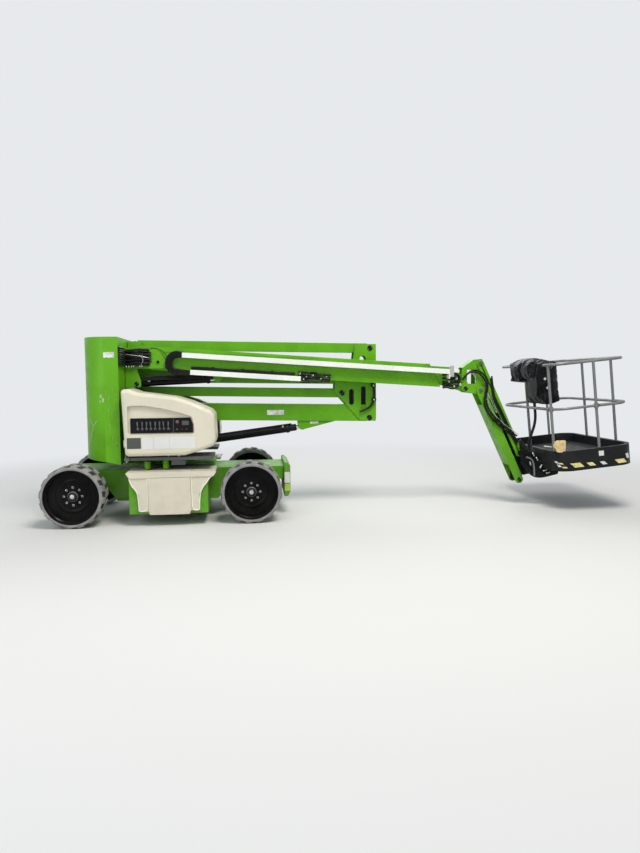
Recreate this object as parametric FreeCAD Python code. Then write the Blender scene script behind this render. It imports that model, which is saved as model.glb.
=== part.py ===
import FreeCAD, Part
import math
import os

from FreeCAD import Placement, Rotation, Vector

# Self-propelled articulating boom lift, parked with its booms folded.
# Millimetres. x runs forward to the platform, y to the left side, z up.
# Measures are set out from the floor, midway between the axles. The finished
# pieces are moved so that the origin is the bottom centre of the whole machine.

# Wheels and axles
WHEELBASE = 2000.0
OVERALL_WIDTH = 1750.0
TYRE_OD = 710.0
TYRE_WIDTH = 305.0
TYRE_BORE = 614.0
LUG_COUNT = 16
LUG_HEIGHT = 16.0
LUG_WIDTH = 78.0
LUG_SLANT = 12.0
RIM_WALL = 12.0
RIM_DISH = 100.0
SPINDLE_R = 34.0
HUB_R = 72.0
HUB_LENGTH = 78.0
STUD_CIRCLE_R = 100.0
STUD_R = 9.0
STUD_COUNT = 8
AXLE_SIZE = 120.0
KINGPIN_INSET = 162.5
KINGPIN_R = 22.0
KNUCKLE_HALF_HEIGHT = 70.0
YOKE_HALF_LENGTH = 48.0
YOKE_PLATE = 30.0
TIE_ROD_R = 14.0
TIE_ROD_ARM = 130.0
STEER_GAP = 5.0

# Fits and clearances
PIN_FIT = 0.05
SEAT_GAP = 0.3
SIDE_GAP = 6.0

# Chassis
CHASSIS_HALF_WIDTH = 335.0
CHASSIS_TOP = 590.0
CHASSIS_BOTTOM = 215.0
CHASSIS_ARCH_Z = 430.0
CHASSIS_REAR = -1290.0
CHASSIS_FRONT = 1400.0
CHASSIS_WALL = 12.0
BUMPER_FRONT = 1475.0
BUMPER_HALF_WIDTH = 400.0
BUMPER_BOTTOM = 225.0
BUMPER_TOP = 640.0
TRAY_REAR = -374.0
TRAY_FRONT = 508.0
TRAY_BOTTOM = 140.0
TRAY_TOP = 596.0
TRAY_OUT = 840.0
TRAY_WALL = 8.0
COVER_OUT = 872.0
COVER_STEP = 12.0
COVER_TOP = 622.0

# Turntable, tower and counterweight
SLEW_RING_R = 330.0
SLEW_SEAT = 12.0
SLEW_RING_HEIGHT = 33.7
TURNTABLE_Z = 636.0
TURNTABLE_PLATE = 28.0
TURNTABLE_FRONT = 560.0
TURNTABLE_HALF_WIDTH = 290.0
TOWER_FRONT = -487.0
TOWER_BEND = -650.0
TOWER_REAR = -912.0
TOWER_REAR_HALF_WIDTH = 300.0
TOWER_TOP = 2150.0
TOWER_HALF_WIDTH = 650.0
TOWER_FOOT = [(TOWER_FRONT, 684.0), (TOWER_BEND, 720.0), (TOWER_REAR, 752.0)]
DECK_Z = 742.0
DECK_TOP = 776.0
DECK_OUT = 760.0
DECK_FRONT = 570.0
DECK_BOX = (92.0, 246.0)
DECK_BOSSES = (-186.0, 24.0)
DECK_BOSS_R = 35.0
HOOD_IN = 300.0
HOOD_OUT = 815.0
HOOD_WALL = 10.0
HOOD_ROUND = 38.0
HOOD_CORNER = 45.0
HOOD_PROFILE = [(-443, 1548), (-367, 1558), (-258, 1518), (-61, 1493), (159, 1462), (325, 1409),
                (469, 1345), (558, 1304), (596, 1252), (607, 966), (583, 898), (424, 844),
                (255, 796), (-411, 793)]
RECESS = [(-372, 1368), (-197, 1371), (-10, 1340), (188, 1292), (343, 1239), (366, 1150),
          (366, 1040), (-372, 1040)]
RECESS_DEPTH = 34.0
HINGE = (-408.0, 772.0)
HINGE_R = 10.0
HINGE_TOP = 1505.0
HINGE_SLEEVES = ((900.0, 980.0), (1180.0, 1260.0), (1420.0, 1500.0))

# Riser stack: the two parallel arms below, the two above, beside the boom
STACK_Y = 60.0
STACK_HALF_GAP = 86.0
PLATE = 12.0
RISER_PIN_R = 26.0
LOWER_PIVOT = (-50.0, 1205.0)
LOWER_TIP = (2520.0, 1151.0)
TIE_OFFSET = (-354.0, 317.0)
LOWER_DEPTH = 212.0
LOWER_WIDTH = 160.0
LOWER_RISE = 58.0
TIE_DEPTH = 116.0
TIE_WIDTH = 120.0
UPPER_TIP = (2529.0, 2037.0)
UPPER_PIVOT = (-400.0, 2088.0)
UPPER_OFFSET = (0.0, -375.0)
UPPER_DEPTH = 170.0
UPPER_WIDTH = 150.0
LINK_DEPTH = 120.0
LINK_WIDTH = 110.0
BEAM_WALL = 8.0

# Telescopic boom, on the right of the stack. Lengths run forward from its pivot,
# heights square to it.
BOOM_Y = -150.0
BOOM_PIVOT = (-250.0, 1990.0)
BOOM_TILT = -3.89
BOOM_HALF_WIDTH = 85.0
BOOM_HIGH = 73.0
BOOM_LOW = -206.0
BOOM_TOP_LENGTH = 3512.0
BOOM_LOW_LENGTH = 3667.0
BOOM_ROOT = 800.0
BOOM_PIN_R = 26.0
INNER_HALF_WIDTH = 62.0
INNER_GAP = 15.0
INNER_REAR = 867.0
INNER_FRONT = 3827.0

# Hose chain and its trays, on the right face of the boom
CHAIN_Y = (-313.0, -273.0)
TRAY_Y = (-325.0, -261.0)
TRAY_SHEET = 4.0
SLIDING_TRAY_U = (450.0, 3744.0)
SLIDING_TRAY_V = (-39.0, 21.0)
FIXED_TRAY_U = (557.0, 1889.0)
FIXED_TRAY_V = (-239.0, -179.0)
FIXED_TRAY_FLOOR_U = 1510.0
CHAIN_LOOP_U = 400.0
CHAIN_LOOP_R = 112.0
CHAIN_BAND = 51.4
CHAIN_PITCH = 50.0
CHAIN_LINK = 36.0
CHAIN_LINK_RISE = 5.0
CHAIN_TOP_END = 1780.0
CHAIN_LOW_END = 800.0

# Jib
JIB_NOSE_PIN = (3721.0, 1512.0)
JIB_TOP = (3908.0, 1827.0)
JIB_LOW = (3911.0, 1488.0)
JIB_REACH = (524.0, -1152.0)
JIB_DEPTH = 105.0
JIB_HALF_WIDTH = 110.0
JIB_TUBE_START = 185.0
JIB_TUBE_END = 230.0
JIB_LINK_DEPTH = 88.0
JIB_PLATE_IN = 75.0
JIB_PLATE = 14.0
JIB_PIN_R = 20.0
JIB_LUG_ALONG = 1020.0
JIB_LUG_RISE = 92.0
JIB_CYL_EYE = (3934.0, 1727.0)

# Platform. Its own measures are taken from the middle of the rim, level with the rim.
PLATFORM_X = 5150.0
PLATFORM_Z = 790.0
PLATFORM_TILT = 5.5
PLATFORM_LENGTH = 1000.0
PLATFORM_WIDTH = 1740.0
PLATFORM_CORNER = 220.0
TUB_DEPTH = 245.0
TUB_FLOOR = 115.0
TUB_WALL = 46.0
FLOOR_THICK = 14.0
FLOOR_PLATE = 4.0
FLOOR_GUTTER = 15.0
RAIL_TOP = 1050.0
RAIL_MID = 510.0
RAIL_R = 18.0
POST_R = 17.0
RAIL_INSET = 30.0
ROTATOR_X = -640.0
ROTATOR_R = 48.0
ROTATOR_PIN_R = 20.0

# Hoses and cables, made whole along their routes
HOSE_R = 11.0
HEAD_HOSE_Z = [1832.0 + 26.0 * k for k in range(8)]
HEAD_HOSE_RUN = [(-470.0, -265.0), (-414.0, -296.0), (-256.0, -296.0), (-200.0, -265.0)]
JIB_HOSE_PATH = [(4040.0, 1640.0), (4075.0, 1380.0), (4150.0, 1240.0), (4330.0, 880.0), (4395.0, 800.0)]
CABLE_R = 12.0

# Derived places
AXLE_X = WHEELBASE / 2
WHEEL_R = TYRE_OD / 2
WHEEL_Y = (OVERALL_WIDTH - TYRE_WIDTH) / 2
KINGPIN_Y = WHEEL_Y - KINGPIN_INSET
TURNTABLE_TOP = TURNTABLE_Z + TURNTABLE_PLATE
RAIL_X = PLATFORM_LENGTH / 2 - RAIL_INSET
RAIL_Y = PLATFORM_WIDTH / 2 - RAIL_INSET
RIGHT, LEFT = -1, 1
SIDES = (("right", RIGHT), ("left", LEFT))

# Lift cylinders: base, rod eye, middle y, barrel radius, gap from its mouth to the rod's eye, where the bore
# and the rod start, rod radius, base pin radius, base boss radius and half width,
# eye radius and half width.
CYLINDERS = {
    "lower": dict(base=(100.0, 845.0), eye=(1663.0, 1045.0), y=STACK_Y, barrel=50, gap=166.0,
                  bore_from=880, rod_from=900, rod=27, pin=26, boss=48, boss_half=74, eye_r=40, eye_half=44),
    "boom": dict(base=(-349.0, 1609.0), eye=(610.0, 1655.0), y=BOOM_Y, barrel=36, gap=90.0,
                 bore_from=380, rod_from=410, rod=20, pin=20, boss=42, boss_half=60, eye_r=30, eye_half=34),
    "jib": dict(base=None, eye=JIB_CYL_EYE, y=BOOM_Y, barrel=33, gap=588.0,
                bore_from=120, rod_from=570, rod=16, pin=14, boss=36, boss_half=34, eye_r=24, eye_half=66),
}


def add(p, q, k=1.0):
    """Point p moved by k times q, in the x-z plane."""
    return (p[0] + k * q[0], p[1] + k * q[1])


def span(p, q):
    """Length and climb, in degrees, of the line from p to q."""
    dx, dz = q[0] - p[0], q[1] - p[1]
    return math.hypot(dx, dz), math.degrees(math.atan2(dz, dx))


def polar(centre, radius, degrees):
    a = math.radians(degrees)
    return (centre[0] + radius * math.cos(a), centre[1] + radius * math.sin(a))


def box(x, y, z):
    """Block between three pairs of limits."""
    return Part.makeBox(x[1] - x[0], y[1] - y[0], z[1] - z[0], Vector(x[0], y[0], z[0]))


def shaft_y(centre, radius, y):
    """Cylinder along y about a point of the x-z plane."""
    return Part.makeCylinder(radius, y[1] - y[0], Vector(centre[0], y[0], centre[1]), Vector(0, 1, 0))


def slot_y(x, z, radius, y):
    """Upright slot with round ends, along y, between the middles of its ends."""
    ends = [shaft_y((x, height), radius, y) for height in z]
    return fuse(box((x - radius, x + radius), y, z), *ends)


def shaft_z(x, y, radius, z):
    return Part.makeCylinder(radius, z[1] - z[0], Vector(x, y, z[0]))


def rod_x(radius, x):
    """Cylinder along x on the origin's line."""
    return Part.makeCylinder(radius, x[1] - x[0], Vector(x[0], 0, 0), Vector(1, 0, 0))


def prism(ring, pull):
    return Part.Face(Part.makePolygon(ring + ring[:1])).extrude(pull)


def prism_y(points, y):
    """Polygon of x-z points, pulled along y."""
    return prism([Vector(px, y[0], pz) for px, pz in points], Vector(0, y[1] - y[0], 0))


def prism_z(points, z):
    """Polygon of x-y points, pulled up."""
    return prism([Vector(px, py, z[0]) for px, py in points], Vector(0, 0, z[1] - z[0]))


def revolve_y(profile):
    """Ring turned about y from (radius, y) points."""
    ring = [Vector(r, y, 0) for r, y in profile]
    face = Part.Face(Part.makePolygon(ring + ring[:1]))
    return face.revolve(Vector(0, 0, 0), Vector(0, 1, 0), 360)


def inset(points, depth):
    """Polygon with every edge moved inwards by depth."""
    area = sum(p[0] * q[1] - q[0] * p[1] for p, q in zip(points, points[1:] + points[:1]))
    turn = 1 if area > 0 else -1
    lines = []
    for p, q in zip(points, points[1:] + points[:1]):
        length = math.hypot(q[0] - p[0], q[1] - p[1])
        d = ((q[0] - p[0]) / length, (q[1] - p[1]) / length)
        lines.append(((p[0] - turn * d[1] * depth, p[1] + turn * d[0] * depth), d))
    corners = []
    for (p, d), (q, e) in zip(lines[-1:] + lines[:-1], lines):
        k = ((q[0] - p[0]) * e[1] - (q[1] - p[1]) * e[0]) / (d[0] * e[1] - d[1] * e[0])
        corners.append((p[0] + k * d[0], p[1] + k * d[1]))
    return corners


def along(origin, climb, shape):
    """Shape drawn along x, placed at a point of the x-z plane and tilted up by climb."""
    placed = shape.copy()
    turn = Placement(Vector(origin[0], 0, origin[1]), Rotation(Vector(0, 1, 0), -climb))
    placed.Placement = turn.multiply(placed.Placement)
    return placed


def tube_beam(x, z, half_width, wall):
    """Rectangular hollow section along x, centred on y = 0."""
    outer = box(x, (-half_width, half_width), z)
    inner_y = (-half_width + wall, half_width - wall)
    return outer.cut(box((x[0] - 1, x[1] + 1), inner_y, (z[0] + wall, z[1] - wall)))


def moved(shape, x=0.0, y=0.0, z=0.0):
    shape = shape.copy()
    shape.translate(Vector(x, y, z))
    return shape


def fuse(first, *others):
    return first.multiFuse(list(others)).removeSplitter()


def mirrored(shape):
    """The same piece on the other side of the centreline."""
    return shape.mirror(Vector(0, 0, 0), Vector(0, 1, 0))


def both_sides(side, near, far):
    """Pair of y limits on one side of the centreline, in rising order."""
    return tuple(sorted((side * near, side * far)))


# Wheels, axles and steering

def lugs(half, turn):
    """Slanted lugs of one half of the tread, from the middle out to the shoulder."""
    across = LUG_WIDTH / 2
    reach = across + LUG_SLANT
    top = math.sqrt(WHEEL_R ** 2 - reach ** 2)
    plan = [(-reach, 5), (across - LUG_SLANT, 5), (reach, half - 6), (LUG_SLANT - across, half - 6)]
    lug = prism_z(plan, (-top, -top + LUG_HEIGHT + 6))
    first = math.degrees(math.asin(reach / WHEEL_R))
    shapes = []
    for k in range(LUG_COUNT):
        shape = lug.copy()
        shape.rotate(Vector(0, 0, 0), Vector(0, 1, 0), first + (k + turn) * 360 / LUG_COUNT)
        shapes.append(shape)
    return shapes


def tyre_and_rim(x, side):
    """Tyre and rim of one wheel, its outer face away from the centreline."""
    half = TYRE_WIDTH / 2
    bore = TYRE_BORE / 2
    ground = WHEEL_R - LUG_HEIGHT
    body = prism_y([polar((0, 0), ground, 180 * k / LUG_COUNT) for k in range(2 * LUG_COUNT)], (-half, half))
    tyre = fuse(body, *lugs(half, 0), *[mirrored(lug) for lug in lugs(half, 0.5)])
    tyre = tyre.cut(shaft_y((0, 0), bore, (-half - 1, half + 1)))
    rim_r = bore - SEAT_GAP
    inner_r = rim_r - RIM_WALL
    dish = half - RIM_DISH
    hub_r = SPINDLE_R + PIN_FIT
    rim = revolve_y([(hub_r, dish - HUB_LENGTH), (HUB_R, dish - HUB_LENGTH), (HUB_R, dish - RIM_WALL),
                     (inner_r, dish - RIM_WALL), (inner_r, -half), (rim_r, -half), (rim_r, half),
                     (inner_r, half), (inner_r, half - 38), (inner_r - RIM_WALL, half - 50),
                     (inner_r - RIM_WALL, dish), (HUB_R, dish), (HUB_R, dish + RIM_WALL),
                     (hub_r, dish + RIM_WALL)])
    cap = revolve_y([(0, dish + RIM_WALL), (SPINDLE_R + RIM_WALL, dish + RIM_WALL),
                     (SPINDLE_R + RIM_WALL, dish + 34), (SPINDLE_R - 10, dish + 44), (0, dish + 44)])
    studs = [shaft_y(polar((0, 0), STUD_CIRCLE_R, 360 * k / STUD_COUNT), STUD_R, (dish - 2, dish + 22))
             for k in range(STUD_COUNT)]
    shapes = []
    for shape in (tyre, fuse(rim, cap, *studs)):
        if side == RIGHT:
            shape = mirrored(shape)
        shapes.append(moved(shape, x, side * WHEEL_Y, WHEEL_R))
    return shapes


def hub_face():
    return WHEEL_Y + TYRE_WIDTH / 2 - RIM_DISH - HUB_LENGTH - STEER_GAP


def spindle(side, x):
    """Stub axle that carries a wheel's hub, ending inside its cap."""
    tip = WHEEL_Y + TYRE_WIDTH / 2 - RIM_DISH + RIM_WALL - 1
    return shaft_y((x, WHEEL_R), SPINDLE_R, both_sides(side, hub_face() - 1, tip))


def axle_saddle(x):
    """Block that joins an axle beam to the chassis above it."""
    y = CHASSIS_HALF_WIDTH - 30
    return box((x - 110, x + 110), (-y, y), (WHEEL_R - AXLE_SIZE / 2 - 15, CHASSIS_ARCH_Z))


def rear_axle():
    half = AXLE_SIZE / 2
    beam = box((-AXLE_X - half, -AXLE_X + half), (-hub_face(), hub_face()), (WHEEL_R - half, WHEEL_R + half))
    return fuse(beam, axle_saddle(-AXLE_X), *[spindle(s, -AXLE_X) for _, s in SIDES])


def front_axle():
    half = AXLE_SIZE / 2
    inner = KNUCKLE_HALF_HEIGHT + STEER_GAP
    outer = inner + YOKE_PLATE
    yoke_in = KINGPIN_Y - YOKE_HALF_LENGTH - 12
    x = (AXLE_X - half, AXLE_X + half)
    beam = box(x, (-yoke_in + YOKE_PLATE / 2, yoke_in - YOKE_PLATE / 2), (WHEEL_R - half, WHEEL_R + half))
    yoke_x = (AXLE_X - YOKE_HALF_LENGTH, AXLE_X + YOKE_HALF_LENGTH)
    parts = [axle_saddle(AXLE_X)]
    for _, s in SIDES:
        back = both_sides(s, yoke_in - YOKE_PLATE, yoke_in)
        parts.append(box(yoke_x, back, (WHEEL_R - outer, WHEEL_R + outer)))
        reach = both_sides(s, yoke_in - 1, KINGPIN_Y)
        for z in ((WHEEL_R + inner, WHEEL_R + outer), (WHEEL_R - outer, WHEEL_R - inner)):
            parts.append(box(yoke_x, reach, z))
            parts.append(shaft_z(AXLE_X, s * KINGPIN_Y, YOKE_HALF_LENGTH, z))
        pin_z = (WHEEL_R - outer + 1, WHEEL_R + outer - 1)
        parts.append(shaft_z(AXLE_X, s * KINGPIN_Y, KINGPIN_R, pin_z))
    return fuse(beam, *parts)


def steering_knuckle(side):
    z = (WHEEL_R - KNUCKLE_HALF_HEIGHT, WHEEL_R + KNUCKLE_HALF_HEIGHT)
    y = side * KINGPIN_Y
    barrel = shaft_z(AXLE_X, y, YOKE_HALF_LENGTH - 6, z)
    flange = box((AXLE_X - 60, AXLE_X + 60), both_sides(side, KINGPIN_Y + 20, hub_face()),
                 (WHEEL_R - 60, WHEEL_R + 60))
    arm_z = (WHEEL_R - 12, WHEEL_R + 12)
    arm = box((AXLE_X + 20, AXLE_X + TIE_ROD_ARM), (y - 15, y + 15), arm_z)
    tip = shaft_z(AXLE_X + TIE_ROD_ARM, y, 20, arm_z)
    bore = shaft_z(AXLE_X, y, KINGPIN_R + PIN_FIT, (z[0] - 1, z[1] + 1))
    return fuse(barrel, flange, arm, tip, spindle(side, AXLE_X)).cut(bore)


def tie_rod():
    """Rod just under the two steering arms, with a joint boss at each end."""
    x = AXLE_X + TIE_ROD_ARM
    z = WHEEL_R - 12 - SEAT_GAP - TIE_ROD_R
    parts = [shaft_z(x, s * KINGPIN_Y, 20, (z - TIE_ROD_R, z + TIE_ROD_R)) for _, s in SIDES]
    return fuse(shaft_y((x, z), TIE_ROD_R - 2, (-KINGPIN_Y, KINGPIN_Y)), *parts)


# Chassis

def chassis_frame():
    outline = [(CHASSIS_REAR, CHASSIS_ARCH_Z), (-760, CHASSIS_ARCH_Z), (-600, CHASSIS_BOTTOM),
               (600, CHASSIS_BOTTOM), (760, CHASSIS_ARCH_Z), (CHASSIS_FRONT, CHASSIS_ARCH_Z),
               (CHASSIS_FRONT, CHASSIS_TOP), (CHASSIS_REAR, CHASSIS_TOP)]
    body = prism_y(outline, (-CHASSIS_HALF_WIDTH, CHASSIS_HALF_WIDTH))
    flange = box((-600, 600), (-CHASSIS_HALF_WIDTH - 25, CHASSIS_HALF_WIDTH + 25),
                 (CHASSIS_BOTTOM, CHASSIS_BOTTOM + CHASSIS_WALL))
    seat = shaft_z(0, 0, SLEW_RING_R - 10, (CHASSIS_TOP - 1, CHASSIS_TOP + SLEW_SEAT))
    return fuse(body, flange, seat)


def bumper():
    return prism_y([(CHASSIS_FRONT, BUMPER_BOTTOM), (BUMPER_FRONT - 30, BUMPER_BOTTOM),
                    (BUMPER_FRONT, BUMPER_BOTTOM + 60), (BUMPER_FRONT, BUMPER_TOP - 40),
                    (BUMPER_FRONT - 40, BUMPER_TOP), (CHASSIS_FRONT, BUMPER_TOP)],
                   (-BUMPER_HALF_WIDTH, BUMPER_HALF_WIDTH))


def slew_ring():
    bottom = CHASSIS_TOP + SLEW_SEAT
    z = (bottom, bottom + SLEW_RING_HEIGHT)
    return shaft_z(0, 0, SLEW_RING_R, z).cut(shaft_z(0, 0, SLEW_RING_R - 90, (z[0] - 1, z[1] + 1)))


def side_trays():
    """Open-topped steel tray along each side of the chassis."""
    solids = []
    for _, s in SIDES:
        outer = box((TRAY_REAR, TRAY_FRONT), both_sides(s, CHASSIS_HALF_WIDTH, TRAY_OUT), (TRAY_BOTTOM, TRAY_TOP))
        hollow = box((TRAY_REAR + TRAY_WALL, TRAY_FRONT - TRAY_WALL),
                     both_sides(s, CHASSIS_HALF_WIDTH + TRAY_WALL + 25, TRAY_OUT - TRAY_WALL),
                     (TRAY_BOTTOM + TRAY_WALL, TRAY_TOP + 1))
        notch = box((TRAY_REAR - 1, TRAY_FRONT + 1), both_sides(s, CHASSIS_HALF_WIDTH - 1, CHASSIS_HALF_WIDTH + 25),
                    (TRAY_BOTTOM - 1, CHASSIS_BOTTOM + CHASSIS_WALL))
        solids.append(outer.cut(hollow).cut(notch))
    return Part.makeCompound(solids)


def battery_packs():
    """Plain block of battery cells in each tray."""
    gap = TRAY_WALL + 4
    return Part.makeCompound([box((TRAY_REAR + gap, TRAY_FRONT - gap),
                                  both_sides(s, CHASSIS_HALF_WIDTH + gap + 25, TRAY_OUT - gap),
                                  (TRAY_BOTTOM + TRAY_WALL, TRAY_TOP - 40)) for _, s in SIDES])


COVER_FACE = [(-370, 600), (585, 600), (575, 564), (530, 552), (499, 495), (450, 440), (407, 360), (405, 174),
              (-256, 172), (-262, 360), (-290, 420), (-344, 480), (-361, 553)]
COVER_LIP = [(-403, 610), (-375, COVER_TOP), (590, COVER_TOP), (604, 610), (575, 564), (-361, 553)]
COVER_PANEL = [(-154, 172), (-140, 136), (298, 136), (312, 172), (312, 556), (-154, 552)]


def battery_covers():
    """Moulded cover hung over the outer side of each tray: side wings, a raised panel, a lip and a lid."""
    solids = []
    for _, s in SIDES:
        parts = []
        for ring, out in ((COVER_FACE, COVER_OUT - COVER_STEP), (COVER_LIP, COVER_OUT), (COVER_PANEL, COVER_OUT)):
            parts.append(prism_y(ring, both_sides(s, TRAY_OUT + SEAT_GAP, out)))
        lid = box((-395, 595), both_sides(s, 420, TRAY_OUT + 1), (TRAY_TOP + SEAT_GAP, COVER_TOP))
        solids.append(fuse(lid, *parts))
    return Part.makeCompound(solids)


# Turntable

def counterweight():
    """Tall casting behind the arms: rounded in plan to the rear, its foot cut to clear the tyres."""
    corners = []
    for s in (-1, 1):
        rim = [(TOWER_FRONT, s * TOWER_HALF_WIDTH), (TOWER_BEND, s * TOWER_HALF_WIDTH),
               (TOWER_BEND - 205, s * (TOWER_HALF_WIDTH - 130)), (TOWER_REAR, s * TOWER_REAR_HALF_WIDTH)]
        corners.append([Vector(x, y, 0) for x, y in rim])
    edges = [Part.LineSegment(corners[0][0], corners[1][0]).toShape(),
             Part.LineSegment(corners[0][3], corners[1][3]).toShape()]
    for front, bend, middle, rear in corners:
        edges += [Part.LineSegment(front, bend).toShape(), Part.Arc(bend, middle, rear).toShape()]
    block = Part.Face(Part.Wire(Part.__sortEdges__(edges))).extrude(Vector(0, 0, TOWER_TOP))
    (front, low), (rear, _) = TOWER_FOOT[0], TOWER_FOOT[-1]
    below = prism_y([(front + 1, -1), (front + 1, low)] + TOWER_FOOT + [(rear - 30, TOWER_FOOT[-1][1]), (rear - 30, -1)],
                    (-TOWER_HALF_WIDTH - 1, TOWER_HALF_WIDTH + 1))
    return block.cut(below)


def turntable():
    """Base plate with the two cheeks that carry the lower arms and their cylinder."""
    rear = TOWER_FRONT + SEAT_GAP
    half = TURNTABLE_HALF_WIDTH
    base = box((rear, TURNTABLE_FRONT), (-half, half), (TURNTABLE_Z, TURNTABLE_TOP))
    tie_pivot = add(LOWER_PIVOT, TIE_OFFSET)
    foot = [(rear, TURNTABLE_TOP - 1), (240, TURNTABLE_TOP - 1), (240, 800), (160, 900), (10, 1190),
            (-350, 1552), (rear, 1552)]
    parts = [box((rear, TOWER_FRONT + 20), (-half, half), (TURNTABLE_TOP - 1, 1440))]
    for s in (-1, 1):
        y = sorted((STACK_Y + s * STACK_HALF_GAP, STACK_Y + s * (STACK_HALF_GAP + 18)))
        parts.append(prism_y(foot, y))
        parts.append(shaft_y(LOWER_PIVOT, 60, y))
        parts.append(shaft_y(tie_pivot, 36, y))
        for x in DECK_BOSSES:
            parts.append(box((x - 30, x + 30), both_sides(s, half - 40, 665), (TURNTABLE_Z, TURNTABLE_TOP)))
            parts.append(shaft_z(x, s * 665, DECK_BOSS_R, (TURNTABLE_Z, DECK_Z - SEAT_GAP)))
    reach = (STACK_Y - STACK_HALF_GAP - 24, STACK_Y + STACK_HALF_GAP + 24)
    for centre in (LOWER_PIVOT, tie_pivot, CYLINDERS["lower"]["base"]):
        parts.append(shaft_y(centre, RISER_PIN_R, reach))
    return fuse(base, *parts)


def side_decks():
    """Shelf under each hood, on the turntable's brackets, with the hood's hinge post."""
    x, y = HINGE
    solids = []
    for _, s in SIDES:
        shelf = box((-400, DECK_FRONT), both_sides(s, TURNTABLE_HALF_WIDTH + 15, DECK_OUT), (DECK_Z, DECK_TOP))
        foot = box((x - 16, x + 40), both_sides(s, y - 40, y + 16), (DECK_Z, DECK_TOP))
        tray = box(DECK_BOX, both_sides(s, TURNTABLE_HALF_WIDTH + 60, DECK_OUT - 40), (TURNTABLE_TOP + 16, DECK_Z + 1))
        solids.append(fuse(shelf, foot, tray, shaft_z(x, s * y, HINGE_R, (DECK_TOP - 1, HINGE_TOP))))
    return Part.makeCompound(solids)


def hydraulic_units():
    """Plain blocks of the pump set and the tank, one on each shelf."""
    z = (DECK_TOP, DECK_TOP + 330)
    return Part.makeCompound([box((-370, 230), both_sides(s, 340, 740), z) for _, s in SIDES])


def rounded_ring(points, radius, y):
    """Wire of an x-z polygon at y, each corner turned by a tangent arc."""
    corners = [Vector(x, y, z) for x, z in points]
    turns = []
    for before, at, after in zip(corners[-1:] + corners[:-1], corners, corners[1:] + corners[:1]):
        back, ahead = before - at, after - at
        room = 0.42 * min(back.Length, ahead.Length)
        back, ahead = back.normalize(), ahead.normalize()
        half = back.getAngle(ahead) / 2
        reach = min(room, radius / math.tan(half))
        bulge = reach / math.cos(half) - reach * math.tan(half)
        turns.append((at + back * reach, at + (back + ahead).normalize() * bulge, at + ahead * reach))
    edges = []
    for turn, following in zip(turns, turns[1:] + turns[:1]):
        edges.append(Part.Arc(*turn).toShape())
        edges.append(Part.LineSegment(turn[2], following[0]).toShape())
    return Part.Wire(edges)


def moulding(points, sections, radius):
    """Solid through sections of one polygon, each a depth of inset and a y."""
    wires = [rounded_ring(inset(points, depth), radius, y) for depth, y in sections]
    return Part.makeLoft(wires, True, True)


def hood(side):
    """Moulded shell, open inwards, below and to the rear, with a rounded outer shoulder."""
    shoulder = HOOD_OUT - HOOD_ROUND
    ease = 0.3 * HOOD_ROUND
    body = moulding(HOOD_PROFILE, ((0, HOOD_IN), (0, shoulder), (ease, HOOD_OUT - ease), (HOOD_ROUND, HOOD_OUT)),
                    HOOD_CORNER)
    inner = inset(HOOD_PROFILE, HOOD_WALL)
    hollow = moulding(inner, ((0, HOOD_IN - 1), (0, shoulder), (HOOD_ROUND, HOOD_OUT - HOOD_WALL)), HOOD_CORNER)
    below = box((-405, 240), (HOOD_IN - 1, shoulder - 4), (780, 900))
    behind = box((-500, -400), (HOOD_IN - 1, shoulder - 4), (780, 1530))
    body = body.cut(hollow).cut(below).cut(behind)
    sleeves = [shaft_z(*HINGE, HINGE_R + HOOD_WALL, z) for z in HINGE_SLEEVES]
    body = fuse(body, *sleeves).cut(shaft_z(*HINGE, HINGE_R + PIN_FIT, (DECK_TOP, HINGE_TOP + 1)))
    if side == RIGHT:
        floor = HOOD_OUT - RECESS_DEPTH
        pocket = moulding(RECESS, ((-HOOD_WALL, floor - HOOD_WALL), (-HOOD_WALL, HOOD_OUT - HOOD_WALL + 1)), 30)
        opening = moulding(RECESS, ((6, floor), (0, HOOD_OUT + 1)), 25)
        body = mirrored(fuse(body, pocket).cut(opening))
    return body


def control_panel():
    """Dark panel of the ground controls, in the hood's recess."""
    back = HOOD_OUT - RECESS_DEPTH
    outline = [(-344, 1056), (350, 1056), (350, 1148), (322, 1226), (-344, 1226)]
    return mirrored(prism_y(outline, (back, back + 12)))


# Riser stack

def arm(p, q, z, width, boss_r):
    """Hollow arm between two riser pins, with a bored boss at each end."""
    length, climb = span(p, q)
    half = width / 2
    bosses = [shaft_y((u, 0), boss_r, (-half, half)) for u in (0, length)]
    bores = [shaft_y((u, 0), RISER_PIN_R + PIN_FIT, (-half - 1, half + 1)) for u in (0, length)]
    body = fuse(tube_beam((30, length - 30), z, half, BEAM_WALL), *bosses).cut(Part.makeCompound(bores))
    return moved(along(p, climb, body), y=STACK_Y)


def lower_boom():
    body = arm(LOWER_PIVOT, LOWER_TIP, (LOWER_RISE - LOWER_DEPTH / 2, LOWER_RISE + LOWER_DEPTH / 2),
               LOWER_WIDTH, 48)
    eye = CYLINDERS["lower"]["eye"]
    lugs = []
    for s in (-1, 1):
        y = sorted((STACK_Y + s * 48, STACK_Y + s * 62))
        lugs.append(prism_y([(1600, 1130), (2138, 1125), (1720, 1020), (1640, 1005), (1610, 1030)], y))
        lugs.append(shaft_y(eye, 40, y))
    return fuse(body, *lugs)


def lower_tie():
    return arm(add(LOWER_PIVOT, TIE_OFFSET), add(LOWER_TIP, TIE_OFFSET), (-TIE_DEPTH / 2, TIE_DEPTH / 2),
               TIE_WIDTH, 46)


def upper_riser():
    return arm(add(UPPER_TIP, UPPER_OFFSET), add(UPPER_PIVOT, UPPER_OFFSET),
               (-UPPER_DEPTH / 2, UPPER_DEPTH / 2), UPPER_WIDTH, 56)


def riser_link():
    return arm(UPPER_TIP, UPPER_PIVOT, (-LINK_DEPTH / 2, LINK_DEPTH / 2), LINK_WIDTH, 50)


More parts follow.
